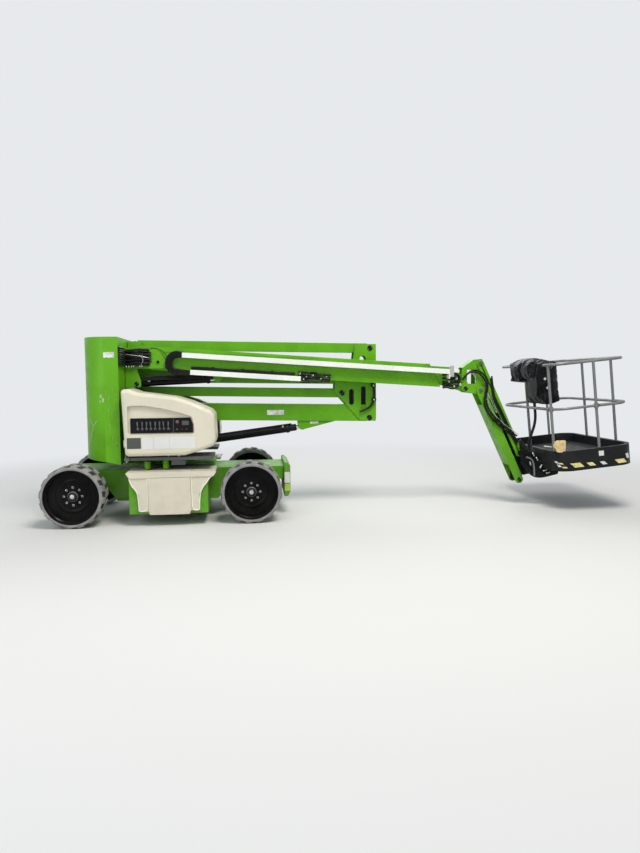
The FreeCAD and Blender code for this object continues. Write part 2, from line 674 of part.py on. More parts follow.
def mid_knuckle():
    """Pair of plates that joins the lower arms' tips to the upper arms' front ends."""
    outline = [(2075, 1640), (2075, 1480), (2405, 1115), (2600, 1105), (2607, 1140), (2607, 2087),
               (2340, 2087), (2310, 1873), (2150, 1700)]
    pins = (LOWER_TIP, add(LOWER_TIP, TIE_OFFSET), UPPER_TIP, add(UPPER_TIP, UPPER_OFFSET))
    parts = []
    for s in (-1, 1):
        y = sorted((STACK_Y + s * STACK_HALF_GAP, STACK_Y + s * (STACK_HALF_GAP + PLATE)))
        plate = prism_y(outline, y).cut(shaft_y((2438, 1898), 42, (y[0] - 1, y[1] + 1)))
        for x, low, high in ((2288, 1346, 1486), (2442, 1292, 1523)):
            plate = plate.cut(slot_y(x, (low, high), 31, (y[0] - 1, y[1] + 1)))
        parts.append(plate)
    reach = STACK_HALF_GAP + PLATE + 6
    parts += [shaft_y(p, RISER_PIN_R, (STACK_Y - reach, STACK_Y + reach)) for p in pins]
    return fuse(*parts)


def head_knuckle():
    """Upright bracket at the top of the stack that carries the boom and its cylinder."""
    rear = TOWER_FRONT + 7
    parts = []
    for s in (-1, 1):
        y = sorted((STACK_Y + s * STACK_HALF_GAP, STACK_Y + s * (STACK_HALF_GAP + PLATE)))
        parts.append(prism_y([(rear, 1640), (-330, 1640), (-300, 1700), (-320, 2130), (rear, 2130)], y))
    reach = (STACK_Y - STACK_HALF_GAP - PLATE - 1, STACK_Y + STACK_HALF_GAP + PLATE + 6)
    parts += [shaft_y(p, RISER_PIN_R, reach) for p in (UPPER_PIVOT, add(UPPER_PIVOT, UPPER_OFFSET))]
    parts.append(box((rear, rear + PLATE), (STACK_Y - STACK_HALF_GAP - 1, STACK_Y + STACK_HALF_GAP + 1),
                     (1650, 2120)))
    near_in = BOOM_Y - BOOM_HALF_WIDTH - SIDE_GAP
    far_in = BOOM_Y + BOOM_HALF_WIDTH + SIDE_GAP
    ear = [(rear, 1566), (-400, 1566), (-300, 1575), (-300, 1650), (-345, 1790), (-20, 1795), (-2, 1840),
           (-6, 1890), (-60, 1985), (-130, 2035), (-200, 2045), (rear, 2045)]
    for y in ((near_in - 14, near_in), (far_in, STACK_Y - STACK_HALF_GAP + 1)):
        parts.append(prism_y(ear, y))
    parts.append(box((rear, -365), (near_in - 1, far_in + 1), (1705, 2030)))
    parts.append(shaft_y(BOOM_PIVOT, BOOM_PIN_R, (near_in - 20, far_in + 20)))
    parts.append(shaft_y(CYLINDERS["boom"]["base"], CYLINDERS["boom"]["pin"], (near_in - 18, far_in + 20)))
    return fuse(*parts)


# Telescopic boom and hose chain

def boom_frame(shape):
    """Shape drawn along the boom from its pivot, put in place."""
    return along(BOOM_PIVOT, BOOM_TILT, shape)


def boom_point(point):
    """Length along the boom and height square to it of an x-z point."""
    length, climb = span(BOOM_PIVOT, point)
    return polar((0, 0), length, climb - BOOM_TILT)


def boom_outer():
    """Box section whose root is open below, so that the cylinder can rise into it."""
    half = BOOM_HALF_WIDTH
    wall = BEAM_WALL
    side = [(20, BOOM_HIGH), (BOOM_TOP_LENGTH, BOOM_HIGH), (BOOM_LOW_LENGTH, BOOM_LOW), (90, BOOM_LOW),
            (-60, -60), (-60, 40), (-40, BOOM_HIGH)]
    body = prism_y(side, (-half, half))
    inner = (-half + wall, half - wall)
    body = body.cut(box((-61, BOOM_ROOT + 1), inner, (BOOM_LOW - 1, BOOM_HIGH - wall)))
    body = body.cut(box((BOOM_ROOT, BOOM_LOW_LENGTH + 1), inner, (BOOM_LOW + wall, BOOM_HIGH - wall)))
    eye = boom_point(CYLINDERS["boom"]["eye"])
    parts = []
    for s in (-1, 1):
        parts.append(shaft_y((0, 0), 48, sorted((s * (half - 22), s * half))))
        lug = [(BOOM_ROOT + 2, BOOM_LOW + 1), (eye[0] + 80, BOOM_LOW + 1), (eye[0] + 28, eye[1] - 28),
               (eye[0] - 28, eye[1] - 28)]
        parts.append(prism_y(lug, sorted((s * 40, s * 52))))
    bore = shaft_y((0, 0), BOOM_PIN_R + PIN_FIT, (-half - 1, half + 1))
    return boom_frame(moved(fuse(body, *parts).cut(bore), y=BOOM_Y))


def boom_inner():
    low = BOOM_LOW + BEAM_WALL + INNER_GAP
    high = BOOM_HIGH - BEAM_WALL - INNER_GAP
    parts = [tube_beam((INNER_REAR, INNER_FRONT), (low, high), INNER_HALF_WIDTH, BEAM_WALL)]
    pin = boom_point(JIB_NOSE_PIN)
    for s in (-1, 1):
        y = sorted((s * (INNER_HALF_WIDTH - 12), s * INNER_HALF_WIDTH))
        parts.append(prism_y([(INNER_FRONT - 120, low), (INNER_FRONT - 1, high), (pin[0] + 30, pin[1] + 80),
                              (pin[0] + 40, pin[1]), (pin[0], pin[1] - 45), (pin[0] - 40, pin[1] - 30)], y))
        parts.append(shaft_y(pin, 45, y))
    reach = JIB_PLATE_IN + JIB_PLATE + 6
    parts.append(shaft_y(pin, JIB_PIN_R, (-reach, reach)))
    for z in ((low - INNER_GAP + 0.5, low + 1), (high - 1, high + INNER_GAP - 0.5)):
        for x in (INNER_REAR + 20, BOOM_TOP_LENGTH - 170):
            parts.append(box((x, x + 120), (-40, 40), z))
    return boom_frame(moved(fuse(*parts), y=BOOM_Y))


def tray_channel(u, v):
    sheet = TRAY_SHEET
    outer = box(u, TRAY_Y, v)
    return outer.cut(box((u[0] - 1, u[1] + 1), (TRAY_Y[0] + sheet, TRAY_Y[1] - sheet), (v[0] + sheet, v[1] - sheet)))


def sliding_tray():
    """Long tray, carried at its front by a bracket on the inner boom."""
    end = SLIDING_TRAY_U[1]
    face = BOOM_Y - INNER_HALF_WIDTH
    bracket = box((end - 1, end + 14), (TRAY_Y[0], face), (-97, 24))
    return boom_frame(fuse(tray_channel(SLIDING_TRAY_U, SLIDING_TRAY_V), bracket))


def fixed_tray():
    """Short tray on the outer boom: two side strips, boxed in past the turn's furthest place."""
    rear, front = FIXED_TRAY_U
    strips = [box((rear, front), y, FIXED_TRAY_V)
              for y in ((TRAY_Y[0], TRAY_Y[0] + TRAY_SHEET), (TRAY_Y[1] - TRAY_SHEET, TRAY_Y[1]))]
    feet = [box((u, u + 40), (TRAY_Y[1] - 1, BOOM_Y - BOOM_HALF_WIDTH), (FIXED_TRAY_V[0] + 34, FIXED_TRAY_V[1] - 6))
            for u in (700, 1150, 1650)]
    return boom_frame(fuse(tray_channel((FIXED_TRAY_FLOOR_U, front), FIXED_TRAY_V), *strips, *feet))


def chain_stations():
    """Middles and climbs of the links that bear or show: the top run's end, the turn and the lower run."""
    top, low = sum(SLIDING_TRAY_V) / 2, sum(FIXED_TRAY_V) / 2
    centre = (CHAIN_LOOP_U, (top + low) / 2)
    count = round(math.pi * CHAIN_LOOP_R / CHAIN_PITCH)
    turns = [90 + 180 * k / count for k in range(count + 1)]
    stations = [((CHAIN_TOP_END - CHAIN_PITCH / 2, top), 0)]
    stations += [(polar(centre, CHAIN_LOOP_R, turn), turn - 90) for turn in turns]
    for k in range(int((CHAIN_LOW_END - CHAIN_LOOP_U - 150) / CHAIN_PITCH)):
        stations.append(((CHAIN_LOW_END - (k + 0.5) * CHAIN_PITCH, low), 0))
    return stations


def energy_chain():
    """Hose chain: a slim band along the whole run, with a wider link at each station."""
    top, low = sum(SLIDING_TRAY_V) / 2, sum(FIXED_TRAY_V) / 2
    centre = (CHAIN_LOOP_U, (top + low) / 2)
    half = CHAIN_BAND / 2
    slim = half - CHAIN_LINK_RISE
    outer = [polar(centre, CHAIN_LOOP_R + slim, a) for a in range(84, 277, 24)]
    inner = [polar(centre, CHAIN_LOOP_R - slim, a) for a in range(276, 83, -24)]
    y = (CHAIN_Y[0] + CHAIN_LINK_RISE, CHAIN_Y[1] - CHAIN_LINK_RISE)
    parts = [prism_y(outer + inner, y)]
    for level, sign, end in ((top, 1, CHAIN_TOP_END), (low, -1, CHAIN_LOW_END)):
        start = CHAIN_LOOP_U - 4
        knee = CHAIN_LOOP_U + 60
        bend = centre[1] + sign * CHAIN_LOOP_R
        run = [(start, bend - slim), (knee, level - slim), (end, level - slim),
               (end, level + slim), (knee, level + slim), (start, bend + slim)]
        parts.append(prism_y(run, y))
    for (u, v), climb in chain_stations():
        link = box((-CHAIN_LINK / 2, CHAIN_LINK / 2), CHAIN_Y, (-half, half))
        parts.append(along((u, v), climb, link))
    return boom_frame(fuse(*parts))


def hose(points, radius):
    """Round hose along a run of points, its corners turned by tangent arcs."""
    points = [Vector(*p) for p in points]
    cuts = [0.0] * len(points)
    edges = []
    at = points[0]
    for k in range(1, len(points) - 1):
        back, ahead = points[k - 1] - points[k], points[k + 1] - points[k]
        reach = 0.45 * min(back.Length, ahead.Length)
        back, ahead = back.normalize(), ahead.normalize()
        first, last = points[k] + back * reach, points[k] + ahead * reach
        half = back.getAngle(ahead) / 2
        mid = (back + ahead).normalize()
        bulge = reach / math.cos(half) - reach * math.tan(half)
        edges.append(Part.LineSegment(at, first).toShape())
        edges.append(Part.Arc(first, points[k] + mid * bulge, last).toShape())
        at = last
    edges.append(Part.LineSegment(at, points[-1]).toShape())
    circle = Part.Wire(Part.Circle(points[0], points[1] - points[0], radius).toShape())
    return Part.Wire(edges).makePipeShell([circle], True, False)


def head_hoses():
    """Bundle of hoses across the side of the head."""
    return Part.makeCompound([hose([(x, y, z) for x, y in HEAD_HOSE_RUN], HOSE_R) for z in HEAD_HOSE_Z])


# Lift cylinders

def cylinder_pair(spec, base):
    """Barrel hinged at its base, and the rod with its eye."""
    length, climb = span(base, spec["eye"])
    mouth = length - spec["gap"]
    half = spec["boss_half"]
    boss = shaft_y((0, 0), spec["boss"], (-half, half))
    barrel = fuse(rod_x(spec["barrel"], (spec["boss"] - 8, mouth)), boss)
    barrel = barrel.cut(rod_x(spec["rod"] + PIN_FIT, (spec["bore_from"], mouth + 1)))
    barrel = barrel.cut(shaft_y((0, 0), spec["pin"] + PIN_FIT, (-half - 1, half + 1)))
    eye_half = spec["eye_half"]
    rod = fuse(rod_x(spec["rod"], (spec["rod_from"], length - spec["eye_r"] + 6)),
               shaft_y((length, 0), spec["eye_r"], (-eye_half, eye_half)))
    return [moved(along(base, climb, shape), y=spec["y"]) for shape in (barrel, rod)]


# Jib

def jib_frame(shape, root):
    """Shape drawn along the jib from one of its upper pins, put in place."""
    return moved(along(root, span((0, 0), JIB_REACH)[1], shape), y=BOOM_Y)


def jib_lug():
    """Base pin of the jib cylinder."""
    _, climb = span((0, 0), JIB_REACH)
    foot = polar(JIB_LOW, JIB_LUG_ALONG, climb)
    return polar(foot, JIB_LUG_RISE, climb + 90)


def jib_knuckle():
    """Upright plates on the boom's nose that carry the jib's two arms."""
    outline = [(3686, 1778), (3816, 1871), (3933, 1885), (3960, 1827), (3962, 1488), (3911, 1437),
               (3721, 1462), (3671, 1512), (3671, 1715)]
    parts = []
    for s in (-1, 1):
        y = sorted((BOOM_Y + s * JIB_PLATE_IN, BOOM_Y + s * (JIB_PLATE_IN + JIB_PLATE)))
        window = box((3740, 3850), (y[0] - 1, y[1] + 1), (1570, 1750))
        hole = shaft_y(JIB_NOSE_PIN, JIB_PIN_R + PIN_FIT, (y[0] - 1, y[1] + 1))
        parts.append(prism_y(outline, y).cut(window).cut(hole))
    half = JIB_HALF_WIDTH + 6
    parts.append(shaft_y(JIB_LOW, JIB_PIN_R, (BOOM_Y - half, BOOM_Y + half)))
    parts += [shaft_y(JIB_TOP, JIB_PIN_R, sorted((BOOM_Y + s * JIB_PLATE_IN, BOOM_Y + s * half))) for s in (-1, 1)]
    parts.append(prism_y([(3690, 1778), (3816, 1869), (3933, 1883), (3933, 1869), (3820, 1855), (3700, 1770)],
                         (BOOM_Y - JIB_PLATE_IN - 1, BOOM_Y + JIB_PLATE_IN + 1)))
    return fuse(*parts)


def jib_sides(length, half, inner):
    """Side straps of a jib arm, rounded about its two pins."""
    parts = []
    for s in (-1, 1):
        y = sorted((s * inner, s * JIB_HALF_WIDTH))
        parts.append(prism_y([(0, -half), (length, -half), (length, half), (0, half)], y))
        parts += [shaft_y((u, 0), half, y) for u in (0, length)]
    return parts


def jib_bores(length):
    return Part.makeCompound([shaft_y((u, 0), JIB_PIN_R + PIN_FIT, (-200, 200)) for u in (0, length)])


def jib_beam():
    length, _ = span((0, 0), JIB_REACH)
    half = JIB_DEPTH / 2
    parts = [tube_beam((JIB_TUBE_START, length - JIB_TUBE_END), (-half, half), JIB_HALF_WIDTH, 12)]
    parts += jib_sides(length, half, JIB_HALF_WIDTH - 12)
    u, v = JIB_LUG_ALONG, JIB_LUG_RISE
    for s in (-1, 1):
        parts.append(prism_y([(u - 70, half - 1), (u + 14, half - 1), (u + 30, v - 10), (u + 22, v + 18),
                              (u, v + 26), (u - 22, v + 18)], sorted((s * 40, s * 54))))
    parts.append(shaft_y((u, v), CYLINDERS["jib"]["pin"], (-53, 53)))
    return jib_frame(fuse(*parts).cut(jib_bores(length)), JIB_LOW)


def jib_link():
    length, _ = span((0, 0), JIB_REACH)
    parts = jib_sides(length, JIB_LINK_DEPTH / 2, JIB_HALF_WIDTH - 14)
    for u in (420, 800):
        parts.append(shaft_y((u, 26), 12, (-JIB_HALF_WIDTH + 1, JIB_HALF_WIDTH - 1)))
    return jib_frame(fuse(*parts).cut(jib_bores(length)), JIB_TOP)


# Platform

def tilt_frame(shape):
    """Shape drawn on the platform's level rim, put in its tilted place."""
    return along((PLATFORM_X, PLATFORM_Z), PLATFORM_TILT, shape)


def platform_carrier():
    """Bracket at the jib's foot that holds the rotator."""
    low, top = add(JIB_LOW, JIB_REACH), add(JIB_TOP, JIB_REACH)
    parts = []
    for s in (-1, 1):
        y = sorted((BOOM_Y + s * JIB_PLATE_IN, BOOM_Y + s * (JIB_PLATE_IN + JIB_PLATE)))
        parts.append(prism_y([(low[0] - 40, low[1] - 30), (low[0] + 30, low[1] - 40), (4488, 330), (4462, 630),
                              (4468, 650), (top[0] + 35, top[1] + 40), (top[0] - 40, top[1] + 30)], y))
    half = JIB_HALF_WIDTH + 6
    for s in (-1, 1):
        y = sorted((BOOM_Y + s * JIB_PLATE_IN, BOOM_Y + s * half))
        parts += [shaft_y(pin, JIB_PIN_R, y) for pin in (low, top)]
    parts.append(box((4420, 4496), (BOOM_Y - JIB_PLATE_IN - 1, BOOM_Y + JIB_PLATE_IN + 1), (405, 495)))
    neck = box((ROTATOR_X - 50, ROTATOR_X), (BOOM_Y - ROTATOR_R, BOOM_Y + ROTATOR_R), (-322, -135))
    boss = shaft_z(ROTATOR_X, BOOM_Y, ROTATOR_R, (-322, -113))
    pin = shaft_z(ROTATOR_X, BOOM_Y, ROTATOR_PIN_R, (-352, -82))
    return fuse(*parts, *[tilt_frame(shape) for shape in (neck, boss, pin)])


def platform_bracket():
    """Swinging bracket: two eyes on the rotator and the frame under the floor."""
    y = (BOOM_Y - 46, BOOM_Y + 46)
    parts = []
    for z in ((-342, -330), (-104, -92)):
        parts.append(shaft_z(ROTATOR_X, BOOM_Y, 46, z))
        parts.append(box((ROTATOR_X, -530), y, z))
    parts.append(box((-560, -530), y, (-342, -92)))
    top = -TUB_FLOOR - FLOOR_THICK - SEAT_GAP
    parts.append(box((-545, 300), y, (top - 60, top)))
    arm = PLATFORM_WIDTH / 2 - 170
    for x in (-250, 230):
        parts.append(box((x - 35, x + 35), (-arm, arm), (top - 50, top)))
    bore = shaft_z(ROTATOR_X, BOOM_Y, ROTATOR_PIN_R + PIN_FIT, (-350, -80))
    return tilt_frame(fuse(*parts).cut(bore))


def round_rect(length, width, radius, z):
    """Closed wire of a rectangle with rounded corners."""
    a, b = length / 2 - radius, width / 2 - radius
    ends = [[polar(centre, radius, start + turn) for turn in (0, 45, 90)]
            for centre, start in (((a, b), 0), ((-a, b), 90), ((-a, -b), 180), ((a, -b), 270))]
    edges = []
    for arc, after in zip(ends, ends[1:] + ends[:1]):
        arc = [Vector(x, y, z) for x, y in arc]
        edges.append(Part.Arc(*arc).toShape())
        edges.append(Part.LineSegment(arc[2], Vector(after[0][0], after[0][1], z)).toShape())
    return Part.Wire(edges)


def slab(margin, z):
    """Plate of the platform's plan, smaller all round by a margin."""
    face = Part.Face(round_rect(PLATFORM_LENGTH - 2 * margin, PLATFORM_WIDTH - 2 * margin,
                                PLATFORM_CORNER - margin, z[0]))
    return face.extrude(Vector(0, 0, z[1] - z[0]))


def platform_tub():
    """Moulded tub: rim, floor and a skirt that hides the frame below."""
    under = -TUB_FLOOR - FLOOR_THICK
    notch = box((-PLATFORM_LENGTH / 2 - 1, -PLATFORM_LENGTH / 2 + TUB_WALL + 1), (BOOM_Y - 110, BOOM_Y + 110),
                (-TUB_DEPTH - 1, under))
    tub = slab(0, (-TUB_DEPTH, 0)).cut(slab(TUB_WALL, (-TUB_FLOOR, 1)))
    tub = tub.cut(slab(TUB_WALL, (-TUB_DEPTH - 1, under))).cut(notch)
    return tilt_frame(fuse(tub, slab(TUB_WALL + FLOOR_GUTTER, (-TUB_FLOOR - 1, -TUB_FLOOR + FLOOR_PLATE))))


# Posts of the guard rail: length and width place on the platform's rim.
POSTS = {
    "gate rear": (7.0 - RAIL_X, 139.0 - RAIL_Y),
    "gate front": (40.0, -RAIL_Y),
    "console": (-RAIL_X, -40.0),
    "left": (200.0, RAIL_Y),
    "front left": (RAIL_X, 260.0),
    "front right": (RAIL_X, 370.0 - RAIL_Y),
}


def rail_ring(height, radius):
    path = round_rect(PLATFORM_LENGTH - 2 * RAIL_INSET, PLATFORM_WIDTH - 2 * RAIL_INSET,
                      PLATFORM_CORNER - RAIL_INSET, height)
    edge = path.Edges[1]
    a, b = edge.Vertexes[0].Point, edge.Vertexes[1].Point
    middle = (a + b) / 2
    circle = Part.Wire(Part.Circle(middle, b - a, radius).toShape())
    halves = [Part.LineSegment(middle, b).toShape(), Part.LineSegment(a, middle).toShape()]
    run = Part.Wire(halves[:1] + path.Edges[2:] + path.Edges[:1] + halves[1:])
    return run.makePipeShell([circle], True, False)


def gate_sector(margin):
    """Plan of the gateway between its two posts, larger at both ends by a margin."""
    a, b = PLATFORM_LENGTH / 2 - PLATFORM_CORNER, PLATFORM_WIDTH / 2 - PLATFORM_CORNER
    corner = (-a, -b)
    radius = PLATFORM_CORNER - RAIL_INSET
    _, turn = span(corner, POSTS["gate rear"])
    rear = polar(corner, PLATFORM_CORNER + 100, turn - math.degrees(margin / radius))
    front = POSTS["gate front"][0] + margin
    beyond = -PLATFORM_WIDTH
    return prism_z([corner, rear, (rear[0], beyond), (front, beyond), (front, -b)], (RAIL_MID - 60, RAIL_MID + 60))


def posts(grow=0.0):
    return [shaft_z(x, y, POST_R + grow, (SEAT_GAP, RAIL_TOP)) for x, y in POSTS.values()]


def guard_rail():
    """Top rail, a closed ring."""
    return tilt_frame(rail_ring(RAIL_TOP, RAIL_R))


def rail_posts():
    """Posts from the tub's rim up into the top rail."""
    return tilt_frame(Part.makeCompound(posts()).cut(rail_ring(RAIL_TOP, RAIL_R + SEAT_GAP)))


def middle_rail():
    """Lengths of rail between the posts, with none across the gateway."""
    ring = rail_ring(RAIL_MID, RAIL_R).cut(gate_sector(36))
    return tilt_frame(ring.cut(Part.makeCompound(posts(SEAT_GAP))))


def gate_bar():
    """Middle bar of the gateway, on collars that slide up its two posts."""
    parts = [rail_ring(RAIL_MID, RAIL_R - 2).common(gate_sector(0))]
    z = (RAIL_MID - 28, RAIL_MID + 28)
    ends = (POSTS["gate rear"], POSTS["gate front"])
    parts += [shaft_z(x, y, 27, z) for x, y in ends]
    bores = [shaft_z(x, y, POST_R + PIN_FIT, (z[0] - 1, z[1] + 1)) for x, y in ends]
    return tilt_frame(fuse(*parts).cut(Part.makeCompound(bores)))


def console_cover():
    """Soft cover over the operator's console, hung on the rear rail."""
    box_part = prism_z([(-500, -620), (-270, -620), (-270, -40), (-500, -40)], (560, 1110))
    flap = prism_z([(-500, -60), (-300, -60), (-360, 250), (-588, 250), (-588, 20)], (830, 1130))
    frame = Part.makeCompound([rail_ring(z, RAIL_R + 0.6) for z in (RAIL_TOP, RAIL_MID)] + posts(0.6))
    return tilt_frame(fuse(box_part, flap).cut(frame))


def console_cables():
    """Pair of cables from the console down to the swinging bracket."""
    path = ((-424, 559.7), (-424, 330), (-545, 60), (-545, -91.7))
    return tilt_frame(Part.makeCompound([hose([(x, BOOM_Y + s * (CABLE_R + 2), z) for x, z in path], CABLE_R)
                                         for s in (-1, 1)]))


def jib_hoses():
    """Two hoses along the right side of the jib."""
    y = BOOM_Y - JIB_HALF_WIDTH - HOSE_R - SEAT_GAP
    return Part.makeCompound([hose([(x + k * 10, y, z + k * 26) for x, z in JIB_HOSE_PATH], HOSE_R)
                              for k in (0, 1)])


# Whole machine

def build():
    pieces = {}
    for end, x in (("front", AXLE_X), ("rear", -AXLE_X)):
        for name, side in SIDES:
            pieces[f"tyre_{end}_{name}"], pieces[f"wheel_{end}_{name}"] = tyre_and_rim(x, side)
    for name, side in SIDES:
        pieces[f"steering_knuckle_{name}"] = steering_knuckle(side)
        pieces[f"hood_{name}"] = hood(side)
    for make in (rear_axle, front_axle, tie_rod, chassis_frame, bumper, slew_ring, side_trays, battery_packs,
                 battery_covers, counterweight, turntable, side_decks, hydraulic_units, control_panel,
                 lower_boom, lower_tie, mid_knuckle, upper_riser, riser_link, head_knuckle, head_hoses,
                 boom_outer, boom_inner, sliding_tray, fixed_tray, energy_chain, jib_knuckle, jib_beam,
                 jib_link, jib_hoses, platform_carrier, platform_bracket, platform_tub, guard_rail,
                 middle_rail, rail_posts, gate_bar, console_cover, console_cables):
        pieces[make.__name__] = make()
    for name, spec in CYLINDERS.items():
        base = spec["base"] or jib_lug()
        pieces[f"{name}_cylinder_barrel"], pieces[f"{name}_cylinder_rod"] = cylinder_pair(spec, base)
    return pieces


def machine_middle():
    """Middle of the whole length, from the rear tyres to the platform's lower front edge."""
    tilt = math.radians(PLATFORM_TILT)
    front = PLATFORM_X + PLATFORM_LENGTH / 2 * math.cos(tilt) + TUB_DEPTH * math.sin(tilt)
    return (front - AXLE_X - WHEEL_R) / 2


os.makedirs("parts", exist_ok=True)
shift = machine_middle()
for name, shape in build().items():
    moved(shape, x=-shift).exportStep(f"parts/{name}.step")
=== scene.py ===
import math
import random

import bmesh
import bpy
from mathutils import Matrix, Vector, noise


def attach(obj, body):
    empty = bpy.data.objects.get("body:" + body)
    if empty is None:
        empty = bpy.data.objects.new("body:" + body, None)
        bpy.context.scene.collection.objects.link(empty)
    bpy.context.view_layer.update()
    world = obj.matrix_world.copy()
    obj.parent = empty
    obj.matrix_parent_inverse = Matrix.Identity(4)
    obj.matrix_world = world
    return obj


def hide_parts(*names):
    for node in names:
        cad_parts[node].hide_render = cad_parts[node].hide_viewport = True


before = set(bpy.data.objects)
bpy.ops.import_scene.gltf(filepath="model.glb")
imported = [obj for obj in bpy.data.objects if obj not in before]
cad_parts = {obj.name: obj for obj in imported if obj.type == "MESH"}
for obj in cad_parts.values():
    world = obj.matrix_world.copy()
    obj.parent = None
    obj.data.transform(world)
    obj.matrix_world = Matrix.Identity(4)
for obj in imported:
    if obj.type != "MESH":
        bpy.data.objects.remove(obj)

# Articulating boom lift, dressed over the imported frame. Places are millimetres of the machine's
# own measures, x from midway between the axles; at() turns them into the frame's metres.
SHIFT = 2.158092
ENDS = {"front": 1, "rear": -1}
SIDES = {"right": -1, "left": 1}
AXLE_X = 1000
WHEEL_Y = 722.5
WHEEL_FACE_Y = 775
WHEEL_R = 355
WHEEL_NUT_RING = 100
WHEEL_NUTS = 8
LUGS = 16
LUG_FOOT_R = 337
HOOD_FACE_Y = -815.0
PANEL_FACE_Y = -793.0
LEVERS = 8
LEVER_PITCH = 48
COVER_FACE_Y = -860.5
BUMPER_FACE_Y = -400
STACK_Y = 60
STACK_NEAR_Y = STACK_Y - 98.0
STACK_PIN_R = 24
LOWER_BASE = (100, 845)
BOOM_TILT = math.radians(-3.89)
BOOM_FOOT = (-250, 1990)
CHAIN_LOOP = (400, -109)
CHAIN_LOOP_R = 112
JIB_PIN_R = 18
JIB_PIN_Y = ((-266, -1), (-34, 1))
JIB_TOP_PINS = ((3908, 1827), (3911, 1488))
JIB_FOOT_PINS = ((4435, 336), (4432, 675))
PLATFORM_TILT = math.radians(5.5)
PLATFORM_MIDDLE = (5150, 790)
TUB_FLAT_X = 280.0
TUB_FLAT_Y = 650.0
TUB_CORNER_R = 220.0 + 1.2
scene = bpy.context.scene
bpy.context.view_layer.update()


# Camera, light and floor

def set_camera():
    """Camera fitted to the photo, with its focal length in pixels of the photo's width."""
    yaw, pitch, roll = -0.104, -0.0733, -0.0091
    focal, photo_width = 658.07, 640
    ahead = Vector((-math.sin(yaw) * math.cos(pitch), math.cos(yaw) * math.cos(pitch), math.sin(pitch)))
    right = Vector((math.cos(yaw), math.sin(yaw), 0))
    up = right.cross(ahead)
    r = math.cos(roll) * right + math.sin(roll) * up
    u = -math.sin(roll) * right + math.cos(roll) * up
    data = bpy.data.cameras.new("camera")
    data.sensor_fit = "HORIZONTAL"
    data.sensor_width = 36.0
    data.lens = focal * 36.0 / photo_width
    camera = bpy.data.objects.new("camera", data)
    turn = Matrix((r, u, -ahead)).transposed().to_4x4()
    camera.matrix_world = Matrix.Translation((1.0122 - SHIFT, -8.3636, 1.659)) @ turn
    scene.collection.objects.link(camera)
    scene.camera = camera


def tree_of(owner):
    owner.use_nodes = True
    owner.node_tree.nodes.clear()
    return owner.node_tree


def add(tree, kind, **values):
    node = tree.nodes.new(kind)
    for key, value in values.items():
        if hasattr(node, key):
            setattr(node, key, value)
        else:
            node.inputs[key.replace("_", " ")].default_value = value
    return node


def ray_mask(tree):
    """1 where the camera, a mirror or a glass looks."""
    link = tree.links.new
    path = add(tree, "ShaderNodeLightPath")
    first = add(tree, "ShaderNodeMath", operation="MAXIMUM")
    last = add(tree, "ShaderNodeMath", operation="MAXIMUM")
    link(path.outputs["Is Camera Ray"], first.inputs[0])
    link(path.outputs["Is Glossy Ray"], first.inputs[1])
    link(first.outputs[0], last.inputs[0])
    link(path.outputs["Is Transmission Ray"], last.inputs[1])
    return last.outputs[0]


def show_mix(tree, mask, first, second, out):
    """Output of one shader where the mask is 0 and of the other where it is 1."""
    mix = add(tree, "ShaderNodeMixShader")
    tree.links.new(mask, mix.inputs[0])
    tree.links.new(first.outputs[0], mix.inputs[1])
    tree.links.new(second.outputs[0], mix.inputs[2])
    tree.links.new(mix.outputs[0], out.inputs[0])


def set_stage():
    """Pale sky and floor that fade into each other, with three soft lights."""
    world = bpy.data.worlds.new("world")
    scene.world = world
    tree = tree_of(world)
    out = add(tree, "ShaderNodeOutputWorld")
    soft = add(tree, "ShaderNodeBackground", Color=(0.86, 0.93, 1.0, 1), Strength=0.50)
    seen = add(tree, "ShaderNodeBackground", Color=(0.80, 0.82, 0.84, 1), Strength=1.0)
    show_mix(tree, ray_mask(tree), soft, seen, out)
    for name, place, size, power, tint in (("key", (1.2, -5.2, 9.5), 3.6, 860, (1.0, 0.97, 0.92)),
                                           ("fill", (-6.0, -5.5, 4.0), 5.0, 170, (0.92, 0.96, 1.0)),
                                           ("back", (1.0, 6.5, 6.5), 6.0, 320, (0.95, 0.98, 1.0))):
        data = bpy.data.lights.new(name, "AREA")
        data.energy = power
        data.size = size
        data.color = tint
        lamp = bpy.data.objects.new(name, data)
        lamp.location = place
        lamp.rotation_euler = (Vector((0, 0, 0.9)) - Vector(place)).to_track_quat("-Z", "Y").to_euler()
        scene.collection.objects.link(lamp)
    mesh = bpy.data.meshes.new("floor")
    mesh.from_pydata([(-60, -60, 0), (60, -60, 0), (60, 60, 0), (-60, 60, 0)], [], [(0, 1, 2, 3)])
    floor = bpy.data.objects.new("floor", mesh)
    scene.collection.objects.link(floor)
    material = bpy.data.materials.new("floor")
    tree = tree_of(material)
    out = add(tree, "ShaderNodeOutputMaterial")
    shade = add(tree, "ShaderNodeBsdfPrincipled", Base_Color=(0.62, 0.61, 0.59, 1), Roughness=0.9)
    far = add(tree, "ShaderNodeBackground", Color=(0.80, 0.82, 0.84, 1), Strength=1.0)
    place = add(tree, "ShaderNodeTexCoord").outputs["Object"]
    reach = add(tree, "ShaderNodeVectorMath", operation="LENGTH")
    tree.links.new(place, reach.inputs[0])
    fade = add(tree, "ShaderNodeMath", operation="MULTIPLY")
    tree.links.new(ramp(tree, reach.outputs["Value"], 4.0, 9.0), fade.inputs[0])
    tree.links.new(ray_mask(tree), fade.inputs[1])
    show_mix(tree, fade.outputs[0], shade, far, out)
    mesh.materials.append(material)


# Materials

